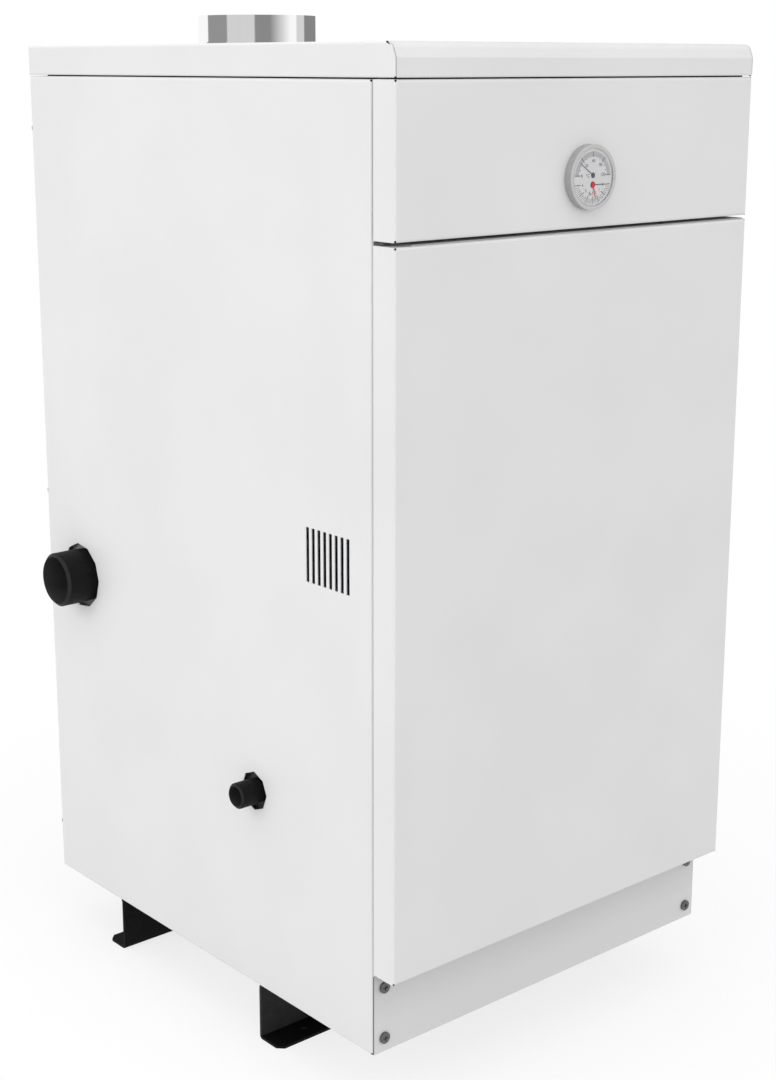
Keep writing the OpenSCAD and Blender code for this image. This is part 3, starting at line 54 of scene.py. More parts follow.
PHOTO_W, PHOTO_H = 776, 1080
CAMERA_AT = Vector((-1.2541, -1.4737, 0.9870))
CAMERA_PITCH, CAMERA_YAW = 76.441, -40.408
FOCAL_PIXELS = 1828.9
PRINCIPAL_X, PRINCIPAL_Y = 378.86, 504.73
SENSOR_MM = 36

camera_data = bpy.data.cameras.new("camera")
camera_data.sensor_fit = "HORIZONTAL"
camera_data.sensor_width = SENSOR_MM
camera_data.lens = FOCAL_PIXELS * SENSOR_MM / PHOTO_W
camera_data.shift_x = (PHOTO_W / 2 - PRINCIPAL_X) / PHOTO_W
camera_data.shift_y = (PRINCIPAL_Y - PHOTO_H / 2) / PHOTO_W
camera = bpy.data.objects.new("camera", camera_data)
camera.location = CAMERA_AT
camera.rotation_euler = Euler((radians(CAMERA_PITCH), 0, radians(CAMERA_YAW)))
scene.collection.objects.link(camera)
scene.camera = camera
scene.view_settings.view_transform = "Standard"


# Node helpers

# Sockets of the Mix node, which share their names
MIX_SHARE, COLOR_A, COLOR_B, MIXED_COLOR = 0, 6, 7, 2
VALUE_A, VALUE_B, MIXED_VALUE = 2, 3, 0


class Finish:
    """A material with its shader, and short ways to add the nodes that colour and roughen it."""

    def __init__(self, name, color, roughness=0.5, metallic=0.0, **sockets):
        self.material = bpy.data.materials.new(name)
        self.material.use_nodes = True
        self.tree = self.material.node_tree
        self.shader = self.tree.nodes["Principled BSDF"]
        self.shader.inputs["Base Color"].default_value = (*color, 1)
        self.shader.inputs["Roughness"].default_value = roughness
        self.shader.inputs["Metallic"].default_value = metallic
        for socket, value in sockets.items():
            self.shader.inputs[socket.replace("_", " ")].default_value = value
        self.place = self.add("ShaderNodeTexCoord").outputs["Object"]

    def add(self, kind, **settings):
        node = self.tree.nodes.new(kind)
        for key, value in settings.items():
            setattr(node, key, value)
        return node

    def link(self, output, target):
        self.tree.links.new(output, target)

    def stretched(self, scale):
        """Object coordinates, stretched by a scale along each axis."""
        mapping = self.add("ShaderNodeMapping")
        mapping.inputs["Scale"].default_value = scale
        self.link(self.place, mapping.inputs["Vector"])
        return mapping.outputs["Vector"]

    def cloud(self, scale, detail=3.0, rough=0.5, stretch=None):
        """Soft noise with a number of blotches to the metre."""
        node = self.add("ShaderNodeTexNoise")
        node.inputs["Scale"].default_value = scale
        node.inputs["Detail"].default_value = detail
        node.inputs["Roughness"].default_value = rough
        self.link(self.stretched(stretch) if stretch else self.place, node.inputs["Vector"])
        return node.outputs["Fac"]

    def cells(self, scale, feature="F1", output="Distance"):
        """Cell pattern with a number of cells to the metre."""
        node = self.add("ShaderNodeTexVoronoi", feature=feature)
        node.inputs["Scale"].default_value = scale
        self.link(self.place, node.inputs["Vector"])
        return node.outputs[output]

    def spread(self, value, low, high, from_low=0.3, from_high=0.7):
        """Remaps a 0 to 1 pattern to a range."""
        node = self.add("ShaderNodeMapRange")
        self.link(value, node.inputs["Value"])
        node.inputs["From Min"].default_value = from_low
        node.inputs["From Max"].default_value = from_high
        node.inputs["To Min"].default_value = low
        node.inputs["To Max"].default_value = high
        return node.outputs["Result"]

    def ramp(self, value, *stops):
        """Colours along a 0 to 1 pattern, each stop a place and a colour."""
        node = self.add("ShaderNodeValToRGB")
        elements = node.color_ramp.elements
        while len(elements) < len(stops):
            elements.new(0.5)
        for element, (place, color) in zip(elements, stops):
            element.position = place
            element.color = (*color, 1)
        self.link(value, node.inputs["Fac"])
        return node.outputs["Color"]

    def mix(self, share, first, second):
        """Mix of two colours, each a node's output or a plain colour."""
        node = self.add("ShaderNodeMix", data_type="RGBA")
        for source, socket in ((share, MIX_SHARE), (first, COLOR_A), (second, COLOR_B)):
            if hasattr(source, "is_linked"):
                self.link(source, node.inputs[socket])
            elif socket == MIX_SHARE:
                node.inputs[socket].default_value = source
            else:
                node.inputs[socket].default_value = (*source, 1)
        return node.outputs[MIXED_COLOR]

    def color(self, output):
        self.link(output, self.shader.inputs["Base Color"])
        return self

    def roughness(self, output):
        self.link(output, self.shader.inputs["Roughness"])
        return self

    def bump(self, *heights, edge=0.0):
        """Bumps from (pattern, depth in mm) pairs, over edges softened by a radius in mm."""
        normal = None
        if edge:
            bevel = self.add("ShaderNodeBevel", samples=4)
            bevel.inputs["Radius"].default_value = edge * MM
            normal = bevel.outputs["Normal"]
        for pattern, depth in heights:
            node = self.add("ShaderNodeBump")
            node.inputs["Distance"].default_value = depth * MM
            self.link(pattern, node.inputs["Height"])
            if normal:
                self.link(normal, node.inputs["Normal"])
            normal = node.outputs["Normal"]
        self.link(normal, self.shader.inputs["Normal"])
        return self


# Finishes

def tone(grey):
    """A neutral colour."""
    return (grey, grey, grey)


def coat(f, grey):
    """Flat black paint's blotches about a grey."""
    return f.ramp(f.cloud(90, 4), (0.3, tone(grey * 0.85)), (0.7, tone(grey * 1.2)))


def white_enamel():
    """Powder coat: a faint orange peel and the slightest cloudiness."""
    f = Finish("white_enamel", tone(0.83), 0.42)
    f.color(f.ramp(f.cloud(7, 2), (0.35, tone(0.815)), (0.65, tone(0.84))))
    f.roughness(f.spread(f.cloud(260), 0.38, 0.5))
    return f.bump((f.cloud(900, 2), 0.012), (f.cloud(160, 1), 0.02), edge=0.5)


def black_primer():
    """Flat black paint."""
    f = Finish("black_primer", tone(0.012), 0.6, Specular_IOR_Level=0.14)
    f.color(coat(f, 0.012))
    f.roughness(f.spread(f.cloud(350), 0.5, 0.7))
    return f.bump((f.cloud(1200, 3), 0.02), edge=0.4)


THREAD_DEPTH, RIM_BLEND = 0.7 * MM, 0.3 * MM
BORE_LIP, BORE_BLEND = 0.1 * MM, 0.3 * MM


def pipe_paint(name, node, bore_r, painted_light_greys):
    """Flat black pipe along X in one paint, with painted light: three greys outside, on the chamfer and
    in the bore, lighter on the chamfer and in the bore for how light falls there.
    """
    low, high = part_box(node)
    rim = (high.z - low.z) / 2 - THREAD_DEPTH
    f = Finish(name, tone(painted_light_greys[0]), 0.6, Specular_IOR_Level=0.14)
    centred = f.add("ShaderNodeMapping")
    centred.inputs["Location"].default_value = (0, -(low.y + high.y) / 2, -(low.z + high.z) / 2)
    centred.inputs["Scale"].default_value = (0, 1, 1)
    f.link(f.place, centred.inputs["Vector"])
    away = f.add("ShaderNodeVectorMath", operation="LENGTH")
    f.link(centred.outputs["Vector"], away.inputs[0])
    outside = f.spread(away.outputs["Value"], 0, 1, rim, rim + RIM_BLEND)
    beyond_bore = f.spread(away.outputs["Value"], 0, 1, bore_r + BORE_LIP, bore_r + BORE_BLEND)
    # Painted light: the chamfer and the bore get lighter copies of the outside's black
    outer, chamfer, bore = [coat(f, grey) for grey in painted_light_greys]
    f.color(f.mix(outside, f.mix(beyond_bore, bore, chamfer), outer))
    f.roughness(f.spread(f.cloud(350), 0.5, 0.7))
    return f.bump((f.cloud(1200, 3), 0.02), edge=0.3)


def by_height(f, low_z, high_z):
    """Share from 0 below one height to 1 above another, in metres."""
    split = f.add("ShaderNodeSeparateXYZ")
    f.link(f.place, split.inputs["Vector"])
    return f.spread(split.outputs["Z"], 0, 1, low_z, high_z)


# Top of the feet's floor flange, in metres: below it the feet get their painted shade
FLANGE_TOP = (3.4 * MM, 4.4 * MM)
# Heights in metres over which painted shade darkens the plinth towards its top
PLINTH_PAINTED_SHADE = (0.09, 0.144)


def foot_paint(name, flange_shaded_grey, web_lit_grey):
    """Flat black paint with painted light and shade: the floor flange painted darker than the web, and
    the web's grey set by how it is lit.
    """
    f = Finish(name, tone(web_lit_grey), 0.6, Specular_IOR_Level=0.1)
    f.color(f.mix(by_height(f, *FLANGE_TOP), tone(flange_shaded_grey), coat(f, web_lit_grey)))
    f.roughness(f.spread(f.cloud(350), 0.5, 0.7))
    return f.bump((f.cloud(1200, 3), 0.02), edge=0.4)


def plinth_painted_shade_enamel():
    """The same powder coat with painted shade: a little greyer all over, and darker still towards the
    top, under the door.
    """
    # Painted shade: the base grey is set below the white enamel's to stand in for the plinth's shade
    f = Finish("plinth_painted_shade_enamel", tone(0.78), 0.42)
    enamel = f.ramp(f.cloud(7, 2), (0.35, tone(0.775)), (0.65, tone(0.79)))
    # Painted shade: tone(0.67) takes over above the band, darkening the plinth's top under the door
    f.color(f.mix(by_height(f, *PLINTH_PAINTED_SHADE), enamel, tone(0.67)))
    f.roughness(f.spread(f.cloud(260), 0.38, 0.5))
    return f.bump((f.cloud(900, 2), 0.012), (f.cloud(160, 1), 0.02), edge=0.5)


def dark_grey_paint(name="dark_grey_paint", grey=0.16):
    """Matt dark grey paint of the inner plates."""
    f = Finish(name, tone(grey), 0.7)
    f.color(f.ramp(f.cloud(60, 3), (0.3, tone(grey * 0.94)), (0.7, tone(grey * 1.06))))
    f.roughness(f.spread(f.cloud(400), 0.62, 0.78))
    return f.bump((f.cloud(900, 2), 0.015), edge=0.4)


def galvanised_sheet():
    """Zinc spangle: flat crystals of slightly different greys, with fine rolling lines."""
    f = Finish("galvanised_sheet", tone(0.55), 0.42, 0.85)
    spangle = f.cells(130, output="Color")
    grey = f.add("ShaderNodeRGBToBW")
    f.link(spangle, grey.inputs["Color"])
    crystal = f.ramp(grey.outputs["Val"], (0.2, (0.47, 0.48, 0.5)), (0.8, (0.62, 0.63, 0.64)))
    f.color(f.mix(f.spread(f.cloud(30), 0, 0.5), crystal, (0.52, 0.53, 0.54)))
    f.roughness(f.spread(grey.outputs["Val"], 0.34, 0.52, 0, 1))
    return f.bump((f.cloud(700, 2, stretch=(1, 1, 0.1)), 0.01), edge=0.3)


def zinc_plate():
    """Plated fasteners under a dull grey film."""
    f = Finish("zinc_plate", tone(0.15), 0.5, 0.6)
    f.color(f.ramp(f.cloud(500, 4), (0.3, (0.115, 0.115, 0.12)), (0.7, (0.18, 0.18, 0.185))))
    f.roughness(f.spread(f.cloud(900), 0.42, 0.6))
    return f.bump((f.cloud(1600), 0.02), edge=0.3)


def cell_foam(name="cell_foam", grey=0.02, pore=0.3):
    """Matt foam with open pores."""
    f = Finish(name, tone(grey), 0.95)
    f.color(f.ramp(f.cells(900), (0.1, tone(grey * pore)), (0.5, tone(grey))))
    return f.bump((f.cells(900), pore))


def flue_sheet():
    """Polished flue tube with the faintest drawing lines up its height."""
    f = Finish("flue_sheet", tone(0.93), 0.045, 1.0)
    lines = f.cloud(240, 2, stretch=(1, 1, 0.02))
    f.color(f.ramp(lines, (0.3, tone(0.92)), (0.7, tone(0.94))))
    return f.roughness(f.spread(lines, 0.035, 0.055))


def mill_plate():
    """Hot-rolled plate: blue-black scale with rusty bloom."""
    f = Finish("mill_plate", tone(0.09), 0.6, 0.4)
    scale = f.ramp(f.cloud(40, 6, 0.6), (0.3, (0.05, 0.05, 0.058)), (0.7, (0.12, 0.115, 0.115)))
    f.color(f.mix(f.spread(f.cloud(14, 5, 0.65), 0, 0.8, 0.52, 0.72), scale, (0.16, 0.07, 0.035)))
    f.roughness(f.spread(f.cloud(120), 0.5, 0.8))
    return f.bump((f.cloud(400, 5), 0.08), edge=0.5)


def heat_tinted_steel():
    """Stainless burner sheet, straw and blue where the flames heat it."""
    f = Finish("heat_tinted_steel", (0.5, 0.47, 0.43), 0.34, 1.0)
    tint = f.ramp(f.cloud(18, 3), (0.3, (0.52, 0.5, 0.47)), (0.5, (0.55, 0.43, 0.28)),
                  (0.62, (0.36, 0.27, 0.33)), (0.75, (0.3, 0.34, 0.45)))
    f.color(tint)
    f.roughness(f.spread(f.cloud(500, 2, stretch=(1, 0.05, 1)), 0.28, 0.45))
    return f.bump((f.cloud(800, 2, stretch=(1, 0.05, 1)), 0.008), edge=0.3)


def crinkled_foil():
    """Foil facing of the wool: creases at two scales over a soft backing."""
    f = Finish("crinkled_foil", (0.72, 0.73, 0.74), 0.36, 0.9)
    creases = f.cells(60, "DISTANCE_TO_EDGE")
    f.color(f.ramp(f.cloud(60, 4), (0.3, (0.62, 0.63, 0.65)), (0.7, (0.78, 0.79, 0.8))))
    f.roughness(f.spread(f.cloud(40), 0.3, 0.48))
    return f.bump((f.cloud(45, 4), 2.0), (creases, 0.5), (f.cloud(300, 3), 0.15))


def turned_brass():
    """Brass with the fine rings of the lathe."""
    f = Finish("turned_brass", (0.72, 0.5, 0.2), 0.3, 1.0)
    f.color(f.ramp(f.cloud(200, 4), (0.3, (0.6, 0.4, 0.16)), (0.7, (0.78, 0.57, 0.27))))
    f.roughness(f.spread(f.cloud(600), 0.22, 0.4))
    return f.bump((f.cloud(900, 2, stretch=(1, 0.2, 1)), 0.01), edge=0.3)


def drawn_copper():
    """Copper tube, dulled in patches."""
    f = Finish("drawn_copper", (0.72, 0.35, 0.22), 0.34, 1.0)
    f.color(f.ramp(f.cloud(80, 5), (0.3, (0.42, 0.2, 0.13)), (0.65, (0.78, 0.42, 0.28))))
    f.roughness(f.spread(f.cloud(300), 0.25, 0.48))
    return f.bump((f.cloud(500), 0.02))


def glazed_ceramic():
    """Off-white glaze over a slightly uneven body."""
    f = Finish("glazed_ceramic", (0.86, 0.84, 0.78), 0.18)
    f.color(f.ramp(f.cloud(150, 2), (0.3, (0.82, 0.79, 0.72)), (0.7, (0.88, 0.86, 0.81))))
    f.roughness(f.spread(f.cloud(200), 0.14, 0.26))
    return f.bump((f.cloud(300, 1), 0.03))


def blasted_casting():
    """Die-cast alloy with a fine blasted grain."""
    f = Finish("blasted_casting", (0.5, 0.51, 0.52), 0.55, 0.8)
    f.color(f.ramp(f.cloud(120, 5), (0.3, (0.42, 0.43, 0.44)), (0.7, (0.58, 0.59, 0.6))))
    f.roughness(f.spread(f.cloud(700), 0.48, 0.66))
    return f.bump((f.cloud(1500, 3), 0.04), edge=0.8)


def black_moulding():
    """Black plastic with a spark-eroded grain."""
    f = Finish("black_moulding", tone(0.022), 0.5)
    f.color(f.ramp(f.cloud(60, 2), (0.3, tone(0.018)), (0.7, tone(0.027))))
    f.roughness(f.spread(f.cloud(800), 0.42, 0.6))
    return f.bump((f.cells(1400), 0.02), edge=0.5)


def red_moulding():
    """Glossy red plastic."""
    f = Finish("red_moulding", (0.5, 0.012, 0.01), 0.22)
    f.color(f.ramp(f.cloud(90, 2), (0.3, (0.45, 0.01, 0.008)), (0.7, (0.55, 0.016, 0.012))))
    f.roughness(f.spread(f.cloud(400), 0.18, 0.3))
    return f.bump((f.cloud(500, 1), 0.01), edge=0.6)


def gauge_satin():
    """Satin grey rim of the gauge."""
    f = Finish("gauge_satin", tone(0.42), 0.42, 0.25)
    f.color(f.ramp(f.cloud(300, 2), (0.3, tone(0.4)), (0.7, tone(0.45))))
    f.roughness(f.spread(f.cloud(900), 0.36, 0.5))
    return f.bump((f.cloud(1500), 0.006), edge=0.2)


def bezel_satin():
    """The bezel's face, turned and lacquered pale."""
    f = Finish("bezel_satin", tone(0.58), 0.36, 0.15)
    f.color(f.ramp(f.cloud(300, 2), (0.3, tone(0.56)), (0.7, tone(0.6))))
    f.roughness(f.spread(f.cloud(900), 0.3, 0.44))
    return f.bump((f.cloud(1500), 0.004))


def gauge_pane():
    """Clear pane, wiped not quite clean."""
    f = Finish("gauge_pane", tone(1.0), 0.02, Transmission_Weight=1.0, IOR=1.2)
    return f.roughness(f.spread(f.cloud(60), 0.0, 0.03))


def dial_card():
    """White printed card."""
    f = Finish("dial_card", tone(0.92), 0.55)
    f.color(f.ramp(f.cloud(400, 2), (0.3, tone(0.9)), (0.7, tone(0.94))))
    return f.bump((f.cloud(2500), 0.003))


def ink(name, color):
    """Printing ink with a faint unevenness."""
    f = Finish(name, color, 0.5)
    f.color(f.ramp(f.cloud(1500, 2), (0.3, color), (0.7, tuple(c * 1.12 for c in color))))
    return f.bump((f.cloud(3000), 0.002))


def enamel_red():
    """Red paint of the set pointer."""
    f = Finish("enamel_red", (0.88, 0.012, 0.016), 0.45)
    f.color(f.ramp(f.cloud(600, 2), (0.3, (0.84, 0.01, 0.014)), (0.7, (0.9, 0.014, 0.018))))
    return f.bump((f.cloud(1500), 0.004))


FINISHES = {
    "white_enamel": white_enamel(), "black_paint": black_primer(), "galvanised": galvanised_sheet(),
    "dark_grey_paint": dark_grey_paint(), "zinc_screws": zinc_plate(), "black_foam": cell_foam(),
    "flue_steel": flue_sheet(),
    "boiler_plate": mill_plate(), "stainless": heat_tinted_steel(), "foil_wool": crinkled_foil(),
    "brass_turned": turned_brass(), "copper_tube": drawn_copper(), "white_ceramic": glazed_ceramic(),
    "cast_alloy": blasted_casting(), "black_plastic": black_moulding(), "red_plastic": red_moulding(),
    "gauge_steel": gauge_satin(), "clear_glass": gauge_pane(), "dial_white": dial_card(),
    "pointer_slate": ink("slate_ink", (0.12, 0.12, 0.165)), "pointer_red": enamel_red(),
}

# Finishes of single pieces, and of nodes whose own surface differs from their slot's; the plinth's, the
# feet's and the pipes' hold painted light and shade, and the foams of the hole collars and plinth joints
# are painted shade

BEZEL_FACE = bezel_satin()
# Painted shade: grey foam behind the water pipes' holes and darker foam behind the gas pipe's, matched to
# how dark each hole looks
HOLE_SHADE_FOAM = cell_foam("hole_shade_foam", 0.4, 0.8)
DEEP_HOLE_SHADE_FOAM = cell_foam("deep_hole_shade_foam", 0.1, 0.8)
# Painted shade: grey foam strips in the crevices beside the plinth
JOINT_SHADE_FOAM = cell_foam("joint_shade_foam", 0.22, 0.8)
ARC_INK = ink("arc_ink", (0.56, 0.56, 0.59))
INDEX_WHITE = ink("index_white", tone(0.7))
WATER_BORE_R, GAS_BORE_R = 26.4 * MM, 10.7 * MM
# The pipes' greys outside, on the chamfer and in the bore: painted light, one black paint lit differently
WATER_PAINTED_LIGHT_GREYS, GAS_PAINTED_LIGHT_GREYS = (0.006, 0.023, 0.05), (0.006, 0.02, 0.04)
BRACKET_PAINT = dark_grey_paint("bracket_grey", 0.1)
OWN_FINISHES = {
    "plinth": plinth_painted_shade_enamel(), "door_seal": dark_grey_paint("seal_grey", 0.5),
    "fascia_mount": dark_grey_paint("mount_grey", 0.35),
    "hinge_bracket_upper": BRACKET_PAINT, "hinge_bracket_lower": BRACKET_PAINT,
    # Painted light: the front foot's web is painted lighter than the rear foot's, for how each is lit;
    # both flanges get a darker painted shade
    "foot_front": foot_paint("front_foot_painted_light", 0.005, 0.036),
    "foot_rear": foot_paint("rear_foot_painted_shade", 0.005, 0.006),
    "return_stub": pipe_paint("return_pipe_painted_light", "return_stub", WATER_BORE_R, WATER_PAINTED_LIGHT_GREYS),
    "supply_stub": pipe_paint("supply_pipe_painted_light", "supply_stub", WATER_BORE_R, WATER_PAINTED_LIGHT_GREYS),
    "gas_inlet_stub": pipe_paint("gas_pipe_painted_light", "gas_inlet_stub", GAS_BORE_R, GAS_PAINTED_LIGHT_GREYS),
}

for part in frame["record"]["subparts"]:
    cad = frame["nodes"][part["node"]]
    finish = OWN_FINISHES.get(part["node"], FINISHES[part["material_slot"]])
    cad.data.materials.clear()
    cad.data.materials.append(finish.material)


# Making pieces

def piece(name, shape, finish, body="boiler", smooth=False, replaces=()):
    """Turns a bmesh into a piece that rides on a body."""
    data = bpy.data.meshes.new(name)
    shape.to_mesh(data)
    shape.free()
    if smooth:
        data.shade_smooth()
    data.materials.append(finish.material)
    made = bpy.data.objects.new(name, data)
    scene.collection.objects.link(made)
    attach(made, body)
    if replaces:
        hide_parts(*replaces)


MERGE = 0.001 * MM


def turned(points, center, axis, steps, closed=False):
    """A bmesh of points spun round an axis, the last joined to the first where it is closed."""
    bm = bmesh.new()
    verts = [bm.verts.new(point) for point in points]
    after = verts[1:] + (verts[:1] if closed else [])
    edges = [bm.edges.new(pair) for pair in zip(verts, after)]
    bmesh.ops.spin(bm, geom=verts + edges, cent=center, axis=axis, angle=tau, steps=steps, use_merge=True)
    bmesh.ops.remove_doubles(bm, verts=bm.verts, dist=MERGE)
    bmesh.ops.recalc_face_normals(bm, faces=bm.faces)
    return bm


def lathe_y(points, x, z, steps):
    """Turned shape about an axis along Y, from (radius, y) points."""
    return turned([(x + r, y, z) for r, y in points], (x, 0, z), (0, 1, 0), steps)


def arc(center, radius, start, end, steps):
    """Points of an arc in a plane, from start to end degrees."""
    for i in range(steps + 1):
        a = radians(start + (end - start) * i / steps)
        yield center[0] + radius * cos(a), center[1] + radius * sin(a)


# Gauge

BEZEL_LOW, BEZEL_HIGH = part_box("gauge_bezel")
GAUGE_X = (BEZEL_LOW.x + BEZEL_HIGH.x) / 2
GAUGE_Z = (BEZEL_LOW.z + BEZEL_HIGH.z) / 2
RIM_R = (BEZEL_HIGH.x - BEZEL_LOW.x) / 2
DIAL_R = 26 * MM
BEZEL_ROLL, BEZEL_LIP = 0.5 * MM, 0.1 * MM


def gauge_bezel():
    """Rolled bezel: rounded outer edge, flat face and a lip that slopes in to the pane."""
    roll = BEZEL_ROLL
    front, back = BEZEL_LOW.y, BEZEL_HIGH.y
    points = [(DIAL_R, back), (DIAL_R + BEZEL_LIP, front + roll / 2), (DIAL_R + roll, front)]
    points += [(RIM_R - 4 * roll, front)]
    points += list(arc((RIM_R - roll, front + roll), roll, -90, 0, 5))
    points += [(RIM_R, back), (DIAL_R, back)]
    piece("gauge_bezel_rolled", lathe_y(points, GAUGE_X, GAUGE_Z, 96), BEZEL_FACE, smooth=True,
          replaces=["gauge_bezel"])


gauge_bezel()

TEMP_PIVOT_Z = GAUGE_Z + 1.9 * MM
PRESS_PIVOT_Z = GAUGE_Z - 6.7 * MM
POINTER_LIFT, PRINT_LIFT = 0.1 * MM, 0.03 * MM
PRINT_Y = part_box("temperature_pointer")[1].y + POINTER_LIFT - PRINT_LIFT

# Printed scales: steps and degrees of turn for each, radii of the grey band, places and widths of
# the ticks, sizes and places of the figures
TEMP_STEPS, TEMP_TURN, TEMP_MAJOR = 12, 15, 3
BAR_STEPS, BAR_TURN, BAR_MAJOR = 30, 6, 5
BAND_IN, BAND_OUT = 19.0 * MM, 23.7 * MM
TEMP_TICK_IN, TEMP_TICK_W, TEMP_MAJOR_W = 16.45 * MM, 0.54 * MM, 0.76 * MM
BAR_TICK_OUT, BAR_TICK_LEN, BAR_MAJOR_LEN = 24.0 * MM, 4.6 * MM, 7.0 * MM
BAR_TICK_W, BAR_MAJOR_W, BAR_FIGURE_IN = 0.42 * MM, 0.76 * MM, 9.6 * MM
TEMP_FIGURE, BAR_FIGURE, DEGREE_SIGN, BAR_WORD = 4.2 * MM, 3.6 * MM, 4.0 * MM, 2.9 * MM
TEMP_FIGURES = {"0": (-14.8, -0.4), "30": (-8.6, 8.9), "60": (0.6, 13.2), "90": (9.9, 9.2),
                "120": (13.2, 0.3)}
FIGURE_WEIGHT = 0.016
ARC_STEPS, ARC_TURN = 60, 3


def bar_print(bm, pivot_z, degrees, inner, outer, width):
    """A printed tick from an inner to an outer radius about a pivot."""
    a = radians(degrees)
    middle = (inner + outer) / 2
    place = Matrix.Translation((GAUGE_X + middle * cos(a), PRINT_Y, pivot_z + middle * sin(a)))
    turn = Matrix.Rotation(-a, 4, "Y")
    stretch = Matrix.Diagonal((outer - inner, width, 1, 1))
    flat = Matrix.Rotation(pi / 2, 4, "X")
    bmesh.ops.create_grid(bm, x_segments=1, y_segments=1, size=0.5, matrix=place @ turn @ flat @ stretch)


def reach(pivot_z, degrees, radius):
    """Distance from a pivot to a circle about the dial's middle, along a direction."""
    a = radians(degrees)
    up = pivot_z - GAUGE_Z
    along = up * sin(a)
    return sqrt(radius ** 2 - (up * cos(a)) ** 2) - along


def printed_words(bm, text, size, x, z):
    """Plain figures, centred on a place on the dial."""
    curve = bpy.data.curves.new("figures", "FONT")
    curve.body = text
    curve.size = size
    curve.offset = size * FIGURE_WEIGHT
    curve.align_x, curve.align_y = "CENTER", "CENTER"
    shape = bpy.data.objects.new("figures", curve)
    scene.collection.objects.link(shape)
    bpy.context.view_layer.update()
    flat = bpy.data.meshes.new_from_object(shape)
    flat.transform(Matrix.Translation((x, PRINT_Y, z)) @ Matrix.Rotation(pi / 2, 4, "X"))
    bm.from_mesh(flat)
    bpy.data.objects.remove(shape)
    bpy.data.meshes.remove(flat)
    bpy.data.curves.remove(curve)


def dial_print():
    """Two half scales: 0 to 120 degrees over the top and 0 to 6 bar under it."""
    bm = bmesh.new()
    for step in range(TEMP_STEPS + 1):
        degrees = 180 - TEMP_TURN * step
        major = step % TEMP_MAJOR == 0
        far = reach(TEMP_PIVOT_Z, degrees, BAND_OUT if major else BAND_IN)
        bar_print(bm, TEMP_PIVOT_Z, degrees, TEMP_TICK_IN, far, TEMP_MAJOR_W if major else TEMP_TICK_W)
    for text, (x, z) in TEMP_FIGURES.items():
        printed_words(bm, text, TEMP_FIGURE, GAUGE_X + x * MM, TEMP_PIVOT_Z + z * MM)
    for step in range(BAR_STEPS + 1):
        degrees = -BAR_TURN * step
        major = step % BAR_MAJOR == 0
        far = reach(PRESS_PIVOT_Z, degrees, BAR_TICK_OUT)
        near = far - (BAR_MAJOR_LEN if major else BAR_TICK_LEN)
        bar_print(bm, PRESS_PIVOT_Z, degrees, near, far, BAR_MAJOR_W if major else BAR_TICK_W)
        if major:
            figure = str(step // BAR_MAJOR)
            r = far - BAR_FIGURE_IN
            a = radians(degrees)
            printed_words(bm, figure, BAR_FIGURE, GAUGE_X + r * cos(a), PRESS_PIVOT_Z + r * sin(a))
    printed_words(bm, "°C", DEGREE_SIGN, GAUGE_X - 6.8 * MM, TEMP_PIVOT_Z - 0.4 * MM)
    printed_words(bm, "bar", BAR_WORD, GAUGE_X - 2.6 * MM, PRESS_PIVOT_Z - 8.4 * MM)
    bmesh.ops.recalc_face_normals(bm, faces=bm.faces)
    piece("dial_figures", bm, FINISHES["pointer_slate"])


def dial_arc():
    """Grey band behind the temperature scale."""
    bm = bmesh.new()
    y = PRINT_Y + PRINT_LIFT / 2
    rims = []
    for radius in (BAND_OUT, BAND_IN):
        rim = []
        for step in range(ARC_STEPS + 1):
            degrees = ARC_TURN * step
            a = radians(degrees)
            far = reach(TEMP_PIVOT_Z, degrees, radius)
            rim.append(bm.verts.new((GAUGE_X + far * cos(a), y, TEMP_PIVOT_Z + far * sin(a))))
        rims += [bm.edges.new(pair) for pair in zip(rim, rim[1:])]
    bmesh.ops.bridge_loops(bm, edges=rims)
    piece("dial_arc_band", bm, ARC_INK)


dial_print()
dial_arc()


CAP_R, CAP_EDGE = 1.5 * MM, 0.1 * MM


def hub_cap(pointer, pivot_z, height, slot):
    """Pressed cap over a pointer's hub and the tip of its post."""
    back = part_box(pointer)[0].y
    front = back - height
    points = [(0, back), (CAP_R, back)]
    points += list(arc((CAP_R - CAP_EDGE, front + CAP_EDGE), CAP_EDGE, 0, -90, 3)) + [(0, front)]
    cap = lathe_y(points, GAUGE_X, pivot_z, 32)
    piece(pointer + "_cap", cap, FINISHES[slot], body=pointer)


hub_cap("temperature_pointer", TEMP_PIVOT_Z, 0.55 * MM, "pointer_slate")
hub_cap("set_pointer", PRESS_PIVOT_Z, 0.13 * MM, "pointer_red")


# Foam collars behind the holes that the pipes pass through, in greys that are painted shade for the dark
# inside seen through the holes

COLLAR_R, COLLAR_IN, COLLAR_T = 60 * MM, 8 * MM, 4 * MM


def pipe_collar(name, node, side, finish):
    """Foam ring round a pipe, a little inside the side panel, its grey painted shade for the view into
    the hole.
    """
    low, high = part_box(node)
    panel_low, panel_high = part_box("side_panel_left" if side < 0 else "side_panel_right")
    near = (panel_low.x if side < 0 else panel_high.x) - side * COLLAR_IN
    far = near - side * COLLAR_T
    y, z = (low.y + high.y) / 2, (low.z + high.z) / 2
    pipe_r = (high.z - low.z) / 2 - THREAD_DEPTH
    corners = ((near, pipe_r), (near, COLLAR_R), (far, COLLAR_R), (far, pipe_r))
    ring = turned([(x, y + r, z) for x, r in corners], (0, y, z), (1, 0, 0), 64, closed=True)
    piece(name, ring, finish)


pipe_collar("return_collar", "return_stub", -1, HOLE_SHADE_FOAM)
pipe_collar("supply_collar", "supply_stub", 1, HOLE_SHADE_FOAM)
pipe_collar("gas_collar", "gas_inlet_stub", -1, DEEP_HOLE_SHADE_FOAM)


# Black plugs in the relief holes of the folded corners: painted shade, standing in for the dark inside of
# the holes

